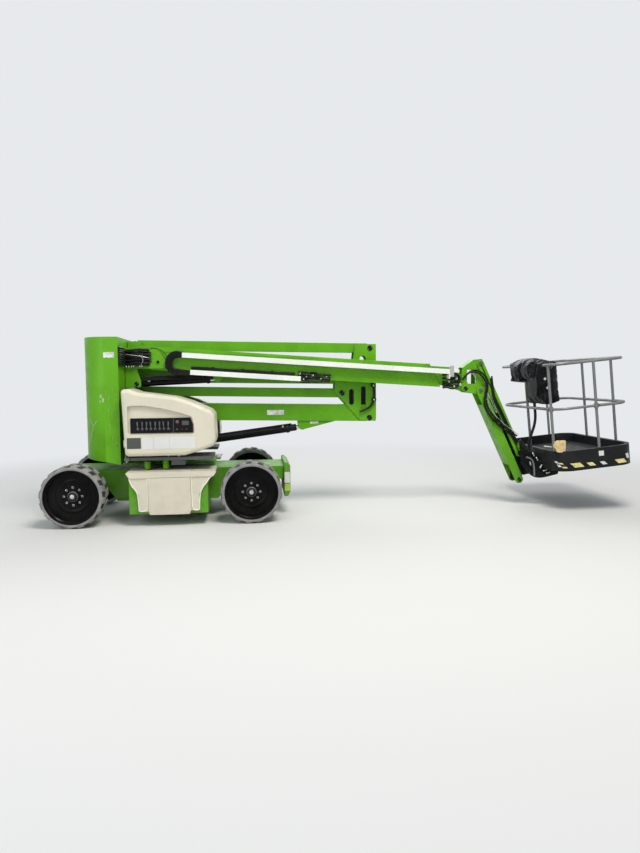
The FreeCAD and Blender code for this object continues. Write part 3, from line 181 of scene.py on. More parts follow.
def shade_mix(tree, mask, first, second):
    mix = add(tree, "ShaderNodeMix", data_type="RGBA")
    tree.links.new(mask, mix.inputs[0])
    for slot, value in ((6, first), (7, second)):
        if isinstance(value, tuple):
            mix.inputs[slot].default_value = (*value, 1)
        else:
            tree.links.new(value, mix.inputs[slot])
    return mix.outputs[2]


def ramp(tree, value, low, high, out_low=0.0, out_high=1.0):
    node = add(tree, "ShaderNodeMapRange", interpolation_type="SMOOTHSTEP")
    tree.links.new(value, node.inputs[0])
    for k, v in enumerate((low, high, out_low, out_high)):
        node.inputs[k + 1].default_value = v
    return node.outputs[0]


def times(tree, a, b):
    node = add(tree, "ShaderNodeMath", operation="MULTIPLY")
    for k, v in enumerate((a, b)):
        if isinstance(v, float):
            node.inputs[k].default_value = v
        else:
            tree.links.new(v, node.inputs[k])
    return node.outputs[0]


def material(name, color, rough=0.45, metal=0.0, vary=0.12, scale=2.5, dust=0.0, mud=0.0, bump=0.05,
             grain=90.0, coat=0.0, dust_color=(0.42, 0.39, 0.33), mud_color=(0.27, 0.22, 0.16),
             streak=0.0, spangle=False, weave=0.0, spec=0.5):
    """Weathered surface: uneven colour, dust on top, mud near the ground, fine grain."""
    made = bpy.data.materials.new(name)
    tree = tree_of(made)
    link = tree.links.new
    out = add(tree, "ShaderNodeOutputMaterial")
    shade = add(tree, "ShaderNodeBsdfPrincipled", Metallic=metal, Coat_Weight=coat, Specular_IOR_Level=spec)
    link(shade.outputs[0], out.inputs[0])
    place = add(tree, "ShaderNodeTexCoord").outputs["Object"]

    def cloud(size, detail=5.0, rough_=0.6, stretch=None):
        source = place
        if stretch:
            fit = add(tree, "ShaderNodeMapping", Scale=stretch)
            link(place, fit.inputs[0])
            source = fit.outputs[0]
        node = add(tree, "ShaderNodeTexNoise", Scale=size, Detail=detail, Roughness=rough_)
        link(source, node.inputs["Vector"])
        return node.outputs["Fac"]

    large = cloud(scale)
    dark = tuple(c * (1 - vary) for c in color)
    light = tuple(min(1.0, c * (1 + vary * 0.8) + 0.01 * vary) for c in color)
    tone = shade_mix(tree, ramp(tree, large, 0.3, 0.7), dark, light)
    if spangle:
        cells = add(tree, "ShaderNodeTexVoronoi", Scale=45.0)
        link(place, cells.inputs["Vector"])
        tone = shade_mix(tree, ramp(tree, cells.outputs["Distance"], 0.0, 0.7, 0.0, 0.35), tone,
                         tuple(c * 1.5 for c in color))
    if streak:
        lines = cloud(3.0, 6.0, 0.7, (9.0, 9.0, 0.5))
        tone = shade_mix(tree, ramp(tree, lines, 0.55, 0.78, 0.0, streak), tone,
                         tuple(c * 0.55 for c in color))
    if dust:
        normal = add(tree, "ShaderNodeNewGeometry")
        axes = add(tree, "ShaderNodeSeparateXYZ")
        link(normal.outputs["Normal"], axes.inputs[0])
        mask = times(tree, ramp(tree, axes.outputs["Z"], 0.35, 0.95),
                     ramp(tree, cloud(6.0), 0.25, 0.65, 0.5, 1.0))
        tone = shade_mix(tree, times(tree, mask, float(dust)), tone, dust_color)
        speck = ramp(tree, cloud(35.0, 8.0, 0.75), 0.56, 0.72, 0.0, dust * 0.45)
        tone = shade_mix(tree, speck, tone, dust_color)
    if mud:
        height = add(tree, "ShaderNodeSeparateXYZ")
        link(place, height.inputs[0])
        low = times(tree, ramp(tree, height.outputs["Z"], 0.15, 0.95, 1.0, 0.12),
                    ramp(tree, cloud(7.0, 7.0, 0.7), 0.35, 0.68))
        tone = shade_mix(tree, times(tree, low, float(mud)), tone, mud_color)
    link(tone, shade.inputs["Base Color"])
    fine = cloud(grain, 4.0)
    link(ramp(tree, cloud(9.0, 6.0), 0.3, 0.75, rough - 0.10, rough + 0.16), shade.inputs["Roughness"])
    lift = fine
    if weave:
        wave = add(tree, "ShaderNodeTexWave", Scale=weave, Distortion=1.5)
        link(place, wave.inputs["Vector"])
        lift = times(tree, fine, wave.outputs["Fac"])
    relief = add(tree, "ShaderNodeBump", Strength=bump, Distance=0.004)
    link(lift, relief.inputs["Height"])
    link(relief.outputs[0], shade.inputs["Normal"])
    return made


M = {
    "green": material("green_paint", (0.105, 0.345, 0.004), rough=0.36, dust=0.08, mud=0.06, bump=0.03,
                      streak=0.12, spec=0.26),
    # Darker copy of the green paint for the chassis, axles and the bosses under the hood: painted shade, with
    # real mud near the ground.
    "green_shaded_muddy": material("green_paint_shaded_muddy", (0.085, 0.30, 0.006), vary=0.16, dust=0.08, mud=0.35,
                          bump=0.06, streak=0.15, dust_color=(0.20, 0.20, 0.15), spec=0.22),
    "cream": material("cream_plastic", (0.640, 0.595, 0.470), rough=0.42, vary=0.05, dust=0.10, mud=0.16,
                      streak=0.12, bump=0.04, coat=0.1, spec=0.4),
    "tyre": material("tyre_rubber", (0.255, 0.252, 0.245), rough=0.88, vary=0.22, scale=9.0, dust=0.20,
                     mud=0.35, bump=0.40, grain=60.0, mud_color=(0.26, 0.24, 0.21),
                     dust_color=(0.36, 0.35, 0.33), spec=0.2),
    # Darker rubber for the floor between the tread lugs: painted shade in the grooves.
    "tyre_dark": material("tyre_groove", (0.060, 0.058, 0.054), rough=0.9, vary=0.35, scale=9.0,
                          bump=0.40, grain=60.0, spec=0.15),
    "black_paint": material("black_paint", (0.005, 0.005, 0.006), rough=0.30, vary=0.3, dust=0.02,
                            mud=0.05, spec=0.14),
    "rim": material("rim_paint", (0.0035, 0.0035, 0.004), rough=0.26, vary=0.35, mud=0.02, bump=0.04,
                    spec=0.07),
    "rubber": material("black_rubber", (0.006, 0.006, 0.007), rough=0.38, vary=0.3, dust=0.03, bump=0.12,
                       spec=0.20),
    "plastic": material("black_plastic", (0.007, 0.007, 0.008), rough=0.38, vary=0.2, dust=0.02,
                        bump=0.06, spec=0.10),
    "white": material("white_paint", (0.76, 0.77, 0.73), rough=0.36, vary=0.08, dust=0.12, streak=0.22,
                      bump=0.03, spec=0.35),
    "steel": material("bright_steel", (0.60, 0.60, 0.59), rough=0.26, metal=1.0, vary=0.1, dust=0.05),
    "zinc": material("zinc_grey", (0.150, 0.162, 0.155), rough=0.46, metal=0.35, vary=0.22, dust=0.12,
                     spangle=True),
    "tub": material("tub_plastic", (0.0075, 0.0085, 0.0095), rough=0.42, vary=0.30, dust=0.10, mud=0.05,
                    bump=0.10, dust_color=(0.06, 0.06, 0.058), spec=0.14),
    "chrome": material("rod_chrome", (0.70, 0.70, 0.70), rough=0.14, metal=1.0, vary=0.05, bump=0.01),
    "cover": material("cover_fabric", (0.0035, 0.0035, 0.0045), rough=0.36, vary=0.4, bump=0.06,
                      weave=220.0, spec=0.13),
    "yellow": material("hazard_yellow", (0.74, 0.64, 0.26), rough=0.5, vary=0.18, scale=18.0, mud=0.3),
    "label": material("label_white", (0.66, 0.66, 0.64), rough=0.4, vary=0.05, bump=0.01),
    "label_dark": material("label_dark", (0.055, 0.060, 0.058), rough=0.4, vary=0.1, bump=0.01),
    "label_tan": material("label_tan", (0.66, 0.50, 0.24), rough=0.5, vary=0.25, scale=30.0, bump=0.02),
    "label_red": material("label_red", (0.42, 0.03, 0.02), rough=0.4, vary=0.1, bump=0.01),
    "label_scuffed": material("label_scuffed", (0.66, 0.67, 0.62), rough=0.5, vary=0.35, scale=14.0,
                              bump=0.03, streak=0.5),
    "lime": material("lime_patch", (0.42, 0.56, 0.06), rough=0.5, vary=0.15, scale=14.0, bump=0.02),
    "scrape": material("scraped_paint", (0.36, 0.47, 0.22), rough=0.6, vary=0.2, scale=20.0),
    "rust": material("rust", (0.17, 0.060, 0.020), rough=0.85, vary=0.5, scale=20.0, bump=0.3),
    "grey": material("grey_steel", (0.085, 0.09, 0.088), rough=0.5, metal=0.3, vary=0.2, dust=0.2,
                     bump=0.06),
    "bead": material("bead_cream", (0.80, 0.775, 0.67), rough=0.4, vary=0.05, bump=0.02),
    "lever": material("lever_grey", (0.10, 0.10, 0.105), rough=0.4, vary=0.1, bump=0.03),
}

CAD_MATERIALS = {
    "green": ("counterweight lower_boom lower_tie mid_knuckle upper_riser riser_link head_knuckle boom_outer "
              "boom_inner jib_knuckle jib_beam jib_link turntable"),
    "green_shaded_muddy": "chassis_frame bumper side_trays rear_axle front_axle steering_knuckle_right "
                 "steering_knuckle_left tie_rod",
    "cream": "hood_right hood_left battery_covers",
    "tyre": " ".join(f"tyre_{end}_{side}" for end in ENDS for side in SIDES),
    "rim": " ".join(f"wheel_{end}_{side}" for end in ENDS for side in SIDES),
    "black_paint": "hydraulic_units lower_cylinder_barrel boom_cylinder_barrel jib_cylinder_barrel "
                   "platform_carrier platform_bracket",
    "plastic": "control_panel energy_chain battery_packs",
    "rubber": "head_hoses jib_hoses console_cables",
    "white": "sliding_tray fixed_tray",
    "grey": "side_decks slew_ring",
    "zinc": "guard_rail gate_bar middle_rail rail_posts",
    "tub": "platform_tub",
    "chrome": "lower_cylinder_rod boom_cylinder_rod jib_cylinder_rod",
    "cover": "console_cover",
}


def dress_cad():
    for key, names in CAD_MATERIALS.items():
        for name in names.split():
            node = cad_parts[name]
            node.data.materials.clear()
            node.data.materials.append(M[key])


# Building blocks

def at(x, y, z):
    """Place in the frame, from the machine's own measures."""
    return Vector((x / 1000 - SHIFT, y / 1000, z / 1000))


def prism(bm, ring, pull, slot=0):
    """Closed prism of a ring of points, pulled by a vector in metres."""
    low = [bm.verts.new(p) for p in ring]
    high = [bm.verts.new(p + pull) for p in ring]
    faces = [bm.faces.new(list(reversed(low))), bm.faces.new(high)]
    for k in range(len(ring)):
        n = (k + 1) % len(ring)
        faces.append(bm.faces.new((low[k], low[n], high[n], high[k])))
    for face in faces:
        face.material_index = slot
    return faces


def plate_y(bm, points, y, slot=0):
    """Prism of x-z points between two y places."""
    return prism(bm, [at(x, y[0], z) for x, z in points], Vector((0, (y[1] - y[0]) / 1000, 0)), slot)


def block(bm, x, y, z, slot=0):
    return plate_y(bm, [(x[0], z[0]), (x[1], z[0]), (x[1], z[1]), (x[0], z[1])], y, slot)


def square_to(axis):
    """The axis and two directions square to it, each of length 1."""
    axis = Vector(axis).normalized()
    side = axis.orthogonal().normalized()
    return axis, side, axis.cross(side)


def lathe(bm, centre, axis, profile, sides=40, slot=0, start=0.0):
    """Turned form about an axis through centre, from (radius, height) pairs in millimetres."""
    axis, side, other = square_to(axis)
    rings = []
    for r, h in profile:
        foot = centre + axis * (h / 1000)
        if r < 1e-6:
            rings.append([bm.verts.new(foot)])
            continue
        ring = []
        for k in range(sides):
            a = start + 2 * math.pi * k / sides
            ring.append(bm.verts.new(foot + (side * math.cos(a) + other * math.sin(a)) * (r / 1000)))
        rings.append(ring)
    for low, high in zip(rings, rings[1:]):
        for k in range(sides):
            n = (k + 1) % sides
            corners = [low[k % len(low)], low[n % len(low)], high[n % len(high)], high[k % len(high)]]
            corners = list(dict.fromkeys(corners))
            if len(corners) > 2:
                bm.faces.new(corners).material_index = slot
    for ring, flip in ((rings[0], True), (rings[-1], False)):
        if len(ring) > 1:
            bm.faces.new(list(reversed(ring)) if flip else ring).material_index = slot


def nut(bm, centre, axis, across, height, slot=0, turn=0.0):
    """Hexagon nut on a washer, with the bolt's end standing out."""
    r = across / 2 / math.cos(math.pi / 6)
    lathe(bm, centre, axis, [(r * 1.25, 0), (r * 1.25, height * 0.18)], 24, slot)
    lathe(bm, centre, axis, [(r, height * 0.1), (r, height * 0.86), (r * 0.88, height)], 6, slot, turn)
    tip = [(r * 0.5, height * 0.9), (r * 0.5, height * 1.3), (r * 0.4, height * 1.42)]
    lathe(bm, centre, axis, tip, 14, slot)


def round_edges(obj, width, angle):
    rounding = obj.modifiers.new("bevel", "BEVEL")
    rounding.width = width / 1000
    rounding.segments = 2
    rounding.limit_method = "ANGLE"
    rounding.angle_limit = math.radians(angle)
    rounding.harden_normals = True


def put(name, data, body):
    """Object that rides on a body."""
    obj = bpy.data.objects.new(name, data)
    scene.collection.objects.link(obj)
    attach(obj, body)
    return obj


def piece(name, bm, keys, body, bevel=0.0, smooth=True):
    """Object from a bmesh, with its materials, its edges rounded and its body named."""
    bmesh.ops.recalc_face_normals(bm, faces=bm.faces)
    mesh = bpy.data.meshes.new(name)
    bm.to_mesh(mesh)
    bm.free()
    for key in keys.split():
        mesh.materials.append(M[key])
    obj = put(name, mesh, body)
    if smooth:
        mesh.shade_smooth()
    if bevel:
        round_edges(obj, bevel, 32)
    elif smooth:
        mesh.set_sharp_from_angle(angle=math.radians(35))
    return obj


def hoses(name, runs, radius, body, key="rubber"):
    """Round hoses along smooth lines, as one piece."""
    curve = bpy.data.curves.new(name, "CURVE")
    curve.dimensions = "3D"
    for points in runs:
        line = curve.splines.new("NURBS")
        line.points.add(len(points) - 1)
        for point, place in zip(line.points, points):
            point.co = (*at(*place), 1)
        line.order_u = 3
        line.use_endpoint_u = True
        line.resolution_u = 8
    curve.bevel_depth = radius / 1000
    curve.bevel_resolution = 4
    curve.use_fill_caps = True
    curve.materials.append(M[key])
    return put(name, curve, body)


def hose(name, points, radius, body, key="rubber"):
    return hoses(name, [points], radius, body, key)


def round_cad():
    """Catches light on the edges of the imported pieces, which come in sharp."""
    for name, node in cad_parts.items():
        width = EDGE_ROUND.get(name)
        if width is None:
            continue
        join = node.modifiers.new("join", "WELD")
        join.merge_threshold = 0.0001
        round_edges(node, width, 34)


EDGE_ROUND = {}
for names, width in (("chassis_frame bumper side_trays turntable counterweight battery_covers", 5.0),
                     ("lower_boom lower_tie upper_riser riser_link boom_outer boom_inner jib_beam", 4.0),
                     ("mid_knuckle head_knuckle jib_knuckle platform_carrier platform_bracket jib_link", 2.5),
                     ("hood_right hood_left control_panel sliding_tray fixed_tray side_decks", 1.5),
                     ("platform_tub", 6.0), ("hydraulic_units battery_packs", 8.0)):
    EDGE_ROUND.update(dict.fromkeys(names.split(), width))


# Wheels

def tyre(end, side):
    """Tyre with a ribbed wall and slanted lugs with rounded edges; the floor between the lugs takes a darker
    rubber colour, which is painted shade in the grooves.
    """
    sign = SIDES[side]
    centre = at(ENDS[end] * AXLE_X, sign * WHEEL_Y, WHEEL_R)
    bm = bmesh.new()
    wall = [(307.2, 151.0), (309.5, 152.3), (314, 152.4), (316, 151.2), (319, 151.2), (321, 152.4),
            (327, 152.3), (333, 150.0), (337, 146.0), (339, 138.0), (340, 120.0)]
    ring_lathe(bm, centre, (0, sign, 0), wall + [(r, -h) for r, h in reversed(wall)], 96)
    # Floor between the lugs, in the darker rubber: painted shade in the grooves.
    ring_lathe(bm, centre, (0, sign, 0), [(330, 141), (341.5, 136), (341.5, -136), (330, -141)], 96, 1)
    first = math.asin(51.0 / WHEEL_R)
    for half, turn in ((1, 0.0), (-1, 0.5)):
        for k in range(LUGS):
            lug(bm, centre, sign, half, -math.pi / 2 + (k + turn) * 2 * math.pi / LUGS - first)
    made = piece(f"tread_{end}_{side}", bm, "tyre tyre_dark", f"{end}_{side}_wheel", bevel=2.2)
    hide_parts(f"tyre_{end}_{side}")


def ring_lathe(bm, centre, axis, profile, sides, slot=0):
    """Turned ring whose profile closes on itself."""
    axis, side, other = square_to(axis)
    rings = []
    for k in range(sides):
        a = 2 * math.pi * k / sides
        out = side * math.cos(a) + other * math.sin(a)
        rings.append([bm.verts.new(centre + axis * (h / 1000) + out * (r / 1000)) for r, h in profile])
    for k in range(sides):
        low, high = rings[k], rings[(k + 1) % sides]
        for j in range(len(profile)):
            n = (j + 1) % len(profile)
            bm.faces.new((low[j], low[n], high[n], high[j])).material_index = slot


def lug(bm, centre, sign, half, angle):
    """One block of tread, slanted, wrapped round the tyre and lowered at the shoulder."""
    rows = ((6, 354.8), (50, 354.8), (98, 354.8), (128, 353.5), (144, 347.0))
    grid = []
    for y, r in rows:
        slant = -12 + 24 * y / 146
        line = []
        for s in (-37, -12, 13, 38):
            a = angle + (s + slant) / WHEEL_R
            line.append((math.cos(a), half * y, math.sin(a), r))
        grid.append(line)
    verts = [[bm.verts.new(centre + Vector((c * r, sign * y, z * r)) / 1000) for c, y, z, r in line]
             for line in grid]
    for low, high in zip(verts, verts[1:]):
        for k in range(3):
            bm.faces.new((low[k], low[k + 1], high[k + 1], high[k]))
    rim = [(0, k) for k in range(4)] + [(j, 3) for j in range(1, 5)]
    rim += [(4, k) for k in (2, 1, 0)] + [(j, 0) for j in (3, 2, 1)]
    foot = []
    for j, k in rim:
        c, y, z, _ = grid[j][k]
        foot.append(bm.verts.new(centre + Vector((c * LUG_FOOT_R, sign * y, z * LUG_FOOT_R)) / 1000))
    for n in range(len(rim)):
        m = (n + 1) % len(rim)
        a, b = verts[rim[n][0]][rim[n][1]], verts[rim[m][0]][rim[m][1]]
        bm.faces.new((a, b, foot[m], foot[n]))


def wheel_trim(end, side):
    """Wheel nuts, rings and bright end of the hub, and the rolled lip of the rim."""
    sign = SIDES[side]
    x = ENDS[end] * AXLE_X
    y = sign * WHEEL_FACE_Y
    body = f"{end}_{side}_wheel"
    axis = (0, sign, 0)
    hub = at(x, y, WHEEL_R)
    bm = bmesh.new()
    for k in range(WHEEL_NUTS):
        a = 2 * math.pi * k / WHEEL_NUTS
        place = at(x + WHEEL_NUT_RING * math.cos(a), y, WHEEL_R + WHEEL_NUT_RING * math.sin(a))
        nut(bm, place, axis, 19, 19, 0, a)
    piece(f"wheel_nuts_{end}_{side}", bm, "steel", body, bevel=0.8)
    bm = bmesh.new()
    ring_lathe(bm, hub, axis, [(47, 12.2), (60, 12.2), (60, 17), (55, 21), (50, 27), (47, 27)], 48, 0)
    lathe(bm, hub, axis, [(24, 43.5), (24, 47), (15, 50), (0, 50)], 32, 1)
    ring_lathe(bm, hub, axis, [(28, 40), (33, 38), (35, 41), (30, 45)], 40, 0)
    piece(f"hub_trim_{end}_{side}", bm, "grey steel", body, bevel=0.8)
    bm = bmesh.new()
    ring_lathe(bm, hub, axis, [(150, -1), (162, 6), (176, 8), (188, 5), (200, -1)], 80)
    piece(f"rim_lip_{end}_{side}", bm, "rim", body, bevel=1.0)


# Blank labels and the ground controls

def label(bm, x, z, y, slot=0, thick=0.9, cut=5.0):
    """Thin plate with cut corners, standing just out of a right face."""
    ring = [(x[0] + cut, z[0]), (x[1] - cut, z[0]), (x[1], z[0] + cut), (x[1], z[1] - cut),
            (x[1] - cut, z[1]), (x[0] + cut, z[1]), (x[0], z[1] - cut), (x[0], z[0] + cut)]
    plate_y(bm, ring, (y - thick, y + 0.5), slot)


def hood_labels():
    bm = bmesh.new()
    for x, z, slot in (((-384, -229), (883, 1007), 1), ((-213, -96), (880, 1010), 0),
                       ((-85, 81), (882, 1013), 0), ((92, 371), (883, 1012), 0)):
        label(bm, x, z, HOOD_FACE_Y, slot)
    piece("hood_labels", bm, "label label_dark", "right_hood")


def control_row():
    """Face of the ground controls: levers in a row, a divider, a knob, lamps and a small screen."""
    face = PANEL_FACE_Y
    bm = bmesh.new()
    border = [(-341, 1059), (347, 1059), (347, 1147), (320, 1223), (-341, 1223)]
    inner = [(-333, 1066), (339, 1066), (339, 1145), (315, 1216), (-333, 1216)]
    for k in range(len(border)):
        n = (k + 1) % len(border)
        plate_y(bm, [border[k], border[n], inner[n], inner[k]], (face - 3, face + 0.5), 0)
    plate_y(bm, [(128, 1064), (134, 1064), (137, 1218), (131, 1218)], (face - 2.2, face + 0.5), 3)
    label(bm, (228, 305), (1142, 1192), face, 2, 2.0, 4)
    for k in range(LEVERS):
        x = -262 + LEVER_PITCH * k
        lathe(bm, at(x, face, 1104), (0, -1, 0), [(15, 0), (15, 2.5), (10, 6), (8, 10), (0, 10)], 18, 3)
        root = at(x, face - 5, 1104)
        tip = at(x + (4 if k % 3 else -4), face - 17, 1186 + 4 * (k % 2))
        lathe(bm, root, tip - root, [(4.5, 0), (5.0, 30), (8.5, 46), (9.0, 74), (6.5, 82), (0, 84)], 14, 1)
    knob = [(20, 0), (20, 3), (15, 6), (15, 13), (12, 16), (0, 16)]
    lathe(bm, at(176, face, 1178), (0, -1, 0), knob, 28, 3)
    lathe(bm, at(176, face, 1178), (0, -1, 0), [(9, 15), (9, 18.5), (0, 19)], 20, 4)
    for x, z, r, slot in ((88, 1100, 8, 3), (172, 1096, 9, 3), (278, 1096, 8, 3), (226, 1096, 5, 4)):
        lathe(bm, at(x, face, z), (0, -1, 0), [(r, 0), (r, 4), (r * 0.7, 7), (0, 7.5)], 18, slot)
    keys = "plastic lever label_dark grey label_red"
    piece("control_row", bm, keys, "right_hood", bevel=0.6)


def on_skin(node, x, z, out=0.8):
    """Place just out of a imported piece's right face, met by a line along y."""
    hit, spot, normal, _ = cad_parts[node].ray_cast(at(x, -3000, z), Vector((0, 1, 0)))
    return spot + normal * (out / 1000) if hit else at(x, -650, z)


def patch(bm, node, points, slot, out=0.5):
    """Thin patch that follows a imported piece's face, from its x-z outline."""
    middle = (sum(x for x, _ in points) / len(points), sum(z for _, z in points) / len(points))
    hub = bm.verts.new(on_skin(node, *middle, out))
    ring = [bm.verts.new(on_skin(node, x, z, out)) for x, z in points]
    for k in range(len(ring)):
        bm.faces.new((hub, ring[k], ring[(k + 1) % len(ring)])).material_index = slot


def stroke(bm, node, start, end, width, slot):
    """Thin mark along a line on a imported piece's face."""
    dx, dz = end[0] - start[0], end[1] - start[1]
    length = math.hypot(dx, dz)
    nx, nz = -dz / length * width / 2, dx / length * width / 2
    steps = 6
    rows = []
    for k in range(steps + 1):
        x, z = start[0] + dx * k / steps, start[1] + dz * k / steps
        rows.append([bm.verts.new(on_skin(node, x + c * nx, z + c * nz)) for c in (1, -1)])
    for low, high in zip(rows, rows[1:]):
        bm.faces.new((low[0], low[1], high[1], high[0])).material_index = slot


def tower_marks():
    """Blank decal, scrapes and worn spots where the photo has them."""
    node = "counterweight"
    rng = random.Random(7)
    bm = bmesh.new()
    lower = [(-647 + 20 * k, 1910 + rng.uniform(0, 12)) for k in range(7)]
    patch(bm, node, [(-647, 1975), *lower, (-527, 1977)], 0)
    piece("tower_decal", bm, "label_scuffed", "superstructure", smooth=False)
    bm = bmesh.new()
    fork, bend = (-797, 1130), (-838, 990)
    for start, end in (((-850, 1250), fork), (fork, bend), (fork, (-748, 1195)), (bend, (-880, 890))):
        stroke(bm, node, start, end, 7, 0)
    for x, z, r in ((-690, 1478, 16), (-668, 1432, 22), (-702, 1415, 10)):
        ring = [(x + r * rng.uniform(0.5, 1.1) * math.cos(t),
                 z + 1.6 * r * rng.uniform(0.5, 1.1) * math.sin(t))
                for t in [2 * math.pi * k / 9 for k in range(9)]]
        patch(bm, node, ring, 0)
    for _ in range(26):
        x, z = rng.uniform(-640, -500), rng.uniform(860, 1560)
        stroke(bm, node, (x, z), (x + rng.uniform(-12, 12), z + rng.uniform(15, 60)),
               rng.uniform(0.8, 2.4), int(rng.random() < 0.35))
    for x, z, r in ((-560, 1180, 7), (-522, 905, 9), (-880, 1560, 8)):
        ring = [(x + r * math.cos(t), z + r * math.sin(t)) for t in (0, 1.2, 2.4, 3.9, 5.2)]
        patch(bm, node, ring, 1)
    piece("tower_scrapes", bm, "scrape rust", "superstructure", smooth=False)


# Under the hood

def under_hood():
    """Valves and hoses on the shelf under the hood, and the two bosses below it."""
    body = "superstructure"
    bm = bmesh.new()
    for k, (x, w, z0, z1) in enumerate(((-300, 60, 780, 835), (-210, 80, 780, 822), (-100, 70, 780, 828),
                                        (20, 90, 780, 818), (150, 60, 780, 812))):
        block(bm, (x, x + w), (-752, -700), (z0, z1), k % 2)
        nut(bm, at(x + w / 2, -752, (z0 + z1) / 2), (0, -1, 0), 18, 8, 2, 0.2 * k)
    piece("valve_row", bm, "black_paint rubber steel", body, bevel=3)
    for k in range(4):
        x = -330 + 30 * k
        points = [(x, -640, 790), (x + 10, -735, 792), (x + 30, -752, 770 - 6 * k), (x + 70, -748, 742),
                  (x + 110, -700, 728 - 4 * k), (x + 130, -560, 735), (x + 120, -420, 760)]
        hose(f"deck_hose_{k + 1}", points, 7, body)
    bm = bmesh.new()
    for x in (-186, 24):
        lathe(bm, at(x, -665, 700), (0, 0, -1), [(38, 0), (38, 10), (34, 14), (34, 26), (0, 26)], 32, 0)
        lathe(bm, at(x, -665, 741), (0, 0, -1), [(40, 0), (40, 8), (35.3, 12)], 32, 0)
    # The bosses take the darker green copy: painted shade.
    piece("deck_bosses", bm, "green_shaded_muddy", body, bevel=1)


# Riser stack and head

def pin_head(bm, x, y, z, r, sign=-1, slot=0):
    """End of a pin: retaining disc, two keeper bolts and a grease point."""
    spot = at(x, y, z)
    axis = (0, sign, 0)
    disc = [(r + 9, 0), (r + 9, 5), (r + 6, 7), (r, 7), (r - 2, 9), (r * 0.45, 9), (r * 0.4, 7.5), (0, 7.5)]
    lathe(bm, spot, axis, disc, 36, slot)
    for a in (0.6, 0.6 + math.pi):
        lathe(bm, at(x + (r + 3) * math.cos(a), y + sign * 5, z + (r + 3) * math.sin(a)), axis,
              [(4.6, 0), (4.6, 3.4), (3.8, 4.4), (0, 4.4)], 6, slot + 1)
    lathe(bm, spot, axis, [(3, 8), (3, 14), (1.8, 16), (0, 16)], 10, slot + 1)


def stack_pins():
    """Pin ends of the riser stack, the head and the jib's top."""
    for name, body, y, places in (
            ("mid_pins", "middle_knuckle", STACK_NEAR_Y - 6,
             ((2520, 1151), (2166, 1468), (2529, 2037), (2529, 1662))),
            ("base_pins", "superstructure", STACK_Y - 110, ((-50, 1205), (-404, 1522), (100, 845)))):
        bm = bmesh.new()
        for x, z in places:
            pin_head(bm, x, y, z, STACK_PIN_R)
            pin_head(bm, x, 2 * STACK_Y - y, z, STACK_PIN_R, 1)
        piece(name, bm, "black_paint steel", body, bevel=0.8)
    bm = bmesh.new()
    pin_head(bm, BOOM_FOOT[0], -261, BOOM_FOOT[1], STACK_PIN_R)
    pin_head(bm, -349, -259, 1609, JIB_PIN_R)
    piece("head_pins", bm, "black_paint steel", "head", bevel=0.8)
    bm = bmesh.new()
    jib_pins(bm, JIB_TOP_PINS)
    piece("jib_pins", bm, "grey steel", "nose_knuckle", bevel=0.8)


def jib_pins(bm, places):
    for x, z in places:
        for y, sign in JIB_PIN_Y:
            pin_head(bm, x, y, z, JIB_PIN_R, sign)


def slot_outline(x, low, high, r):
    """Outline of an upright slot with round ends."""
    turns = [math.pi * k / 8 for k in range(9)]
    turns += [math.pi + t for t in turns]
    return [(x + r * math.cos(a), (high if a < math.pi else low) + r * math.sin(a)) for a in turns]


def knuckle_trim():
    """Flanges round the knuckle's slots, and hoses behind them and along its rear edge."""
    y = STACK_NEAR_Y
    bm = bmesh.new()
    for x, low, high in ((2288, 1346, 1486), (2442, 1292, 1523)):
        outer = slot_outline(x, low, high, 36)
        inner = slot_outline(x, low, high, 30.6)
        for k in range(len(outer)):
            n = (k + 1) % len(outer)
            plate_y(bm, [outer[k], outer[n], inner[n], inner[k]], (y - 3, y + 1))
    piece("knuckle_slot_rims", bm, "green", "middle_knuckle", bevel=0.8)
    for k in range(4):
        dx, near = 9 * (k // 2), y - 18 - 17 * (k % 2)
        points = [(2470 + dx, near, 1700), (2540 + dx, near, 1620), (2572 + dx, near - 4, 1520),
                  (2576 + dx, near - 6, 1430), (2560 + dx, near, 1340), (2500 + dx, near, 1262),
                  (2390, near, 1230)]
        hose(f"knuckle_hose_{k + 1}", points, 8.5, "middle_knuckle")
    runs = []
    for k, x in enumerate((2258, 2284, 2310, 2408, 2432, 2458, 2484)):
        runs.append([(x, y + 34 + 8 * (k % 2), 1262), (x + 5, y + 38, 1340), (x - 6, y + 36, 1440),
                     (x, y + 34, 1546)])
    hoses("knuckle_inner", runs, 14, "middle_knuckle")
    bm = bmesh.new()
    for x, z in ((2560, 1560), (2568, 1380)):
        block(bm, (x - 22, x + 34), (y - 50, y + 1), (z - 14, z + 14), 0)
        nut(bm, at(x + 5, y - 50, z), (0, -1, 0), 15, 7, 1)
    piece("knuckle_clamps", bm, "black_paint steel", "middle_knuckle", bevel=2)


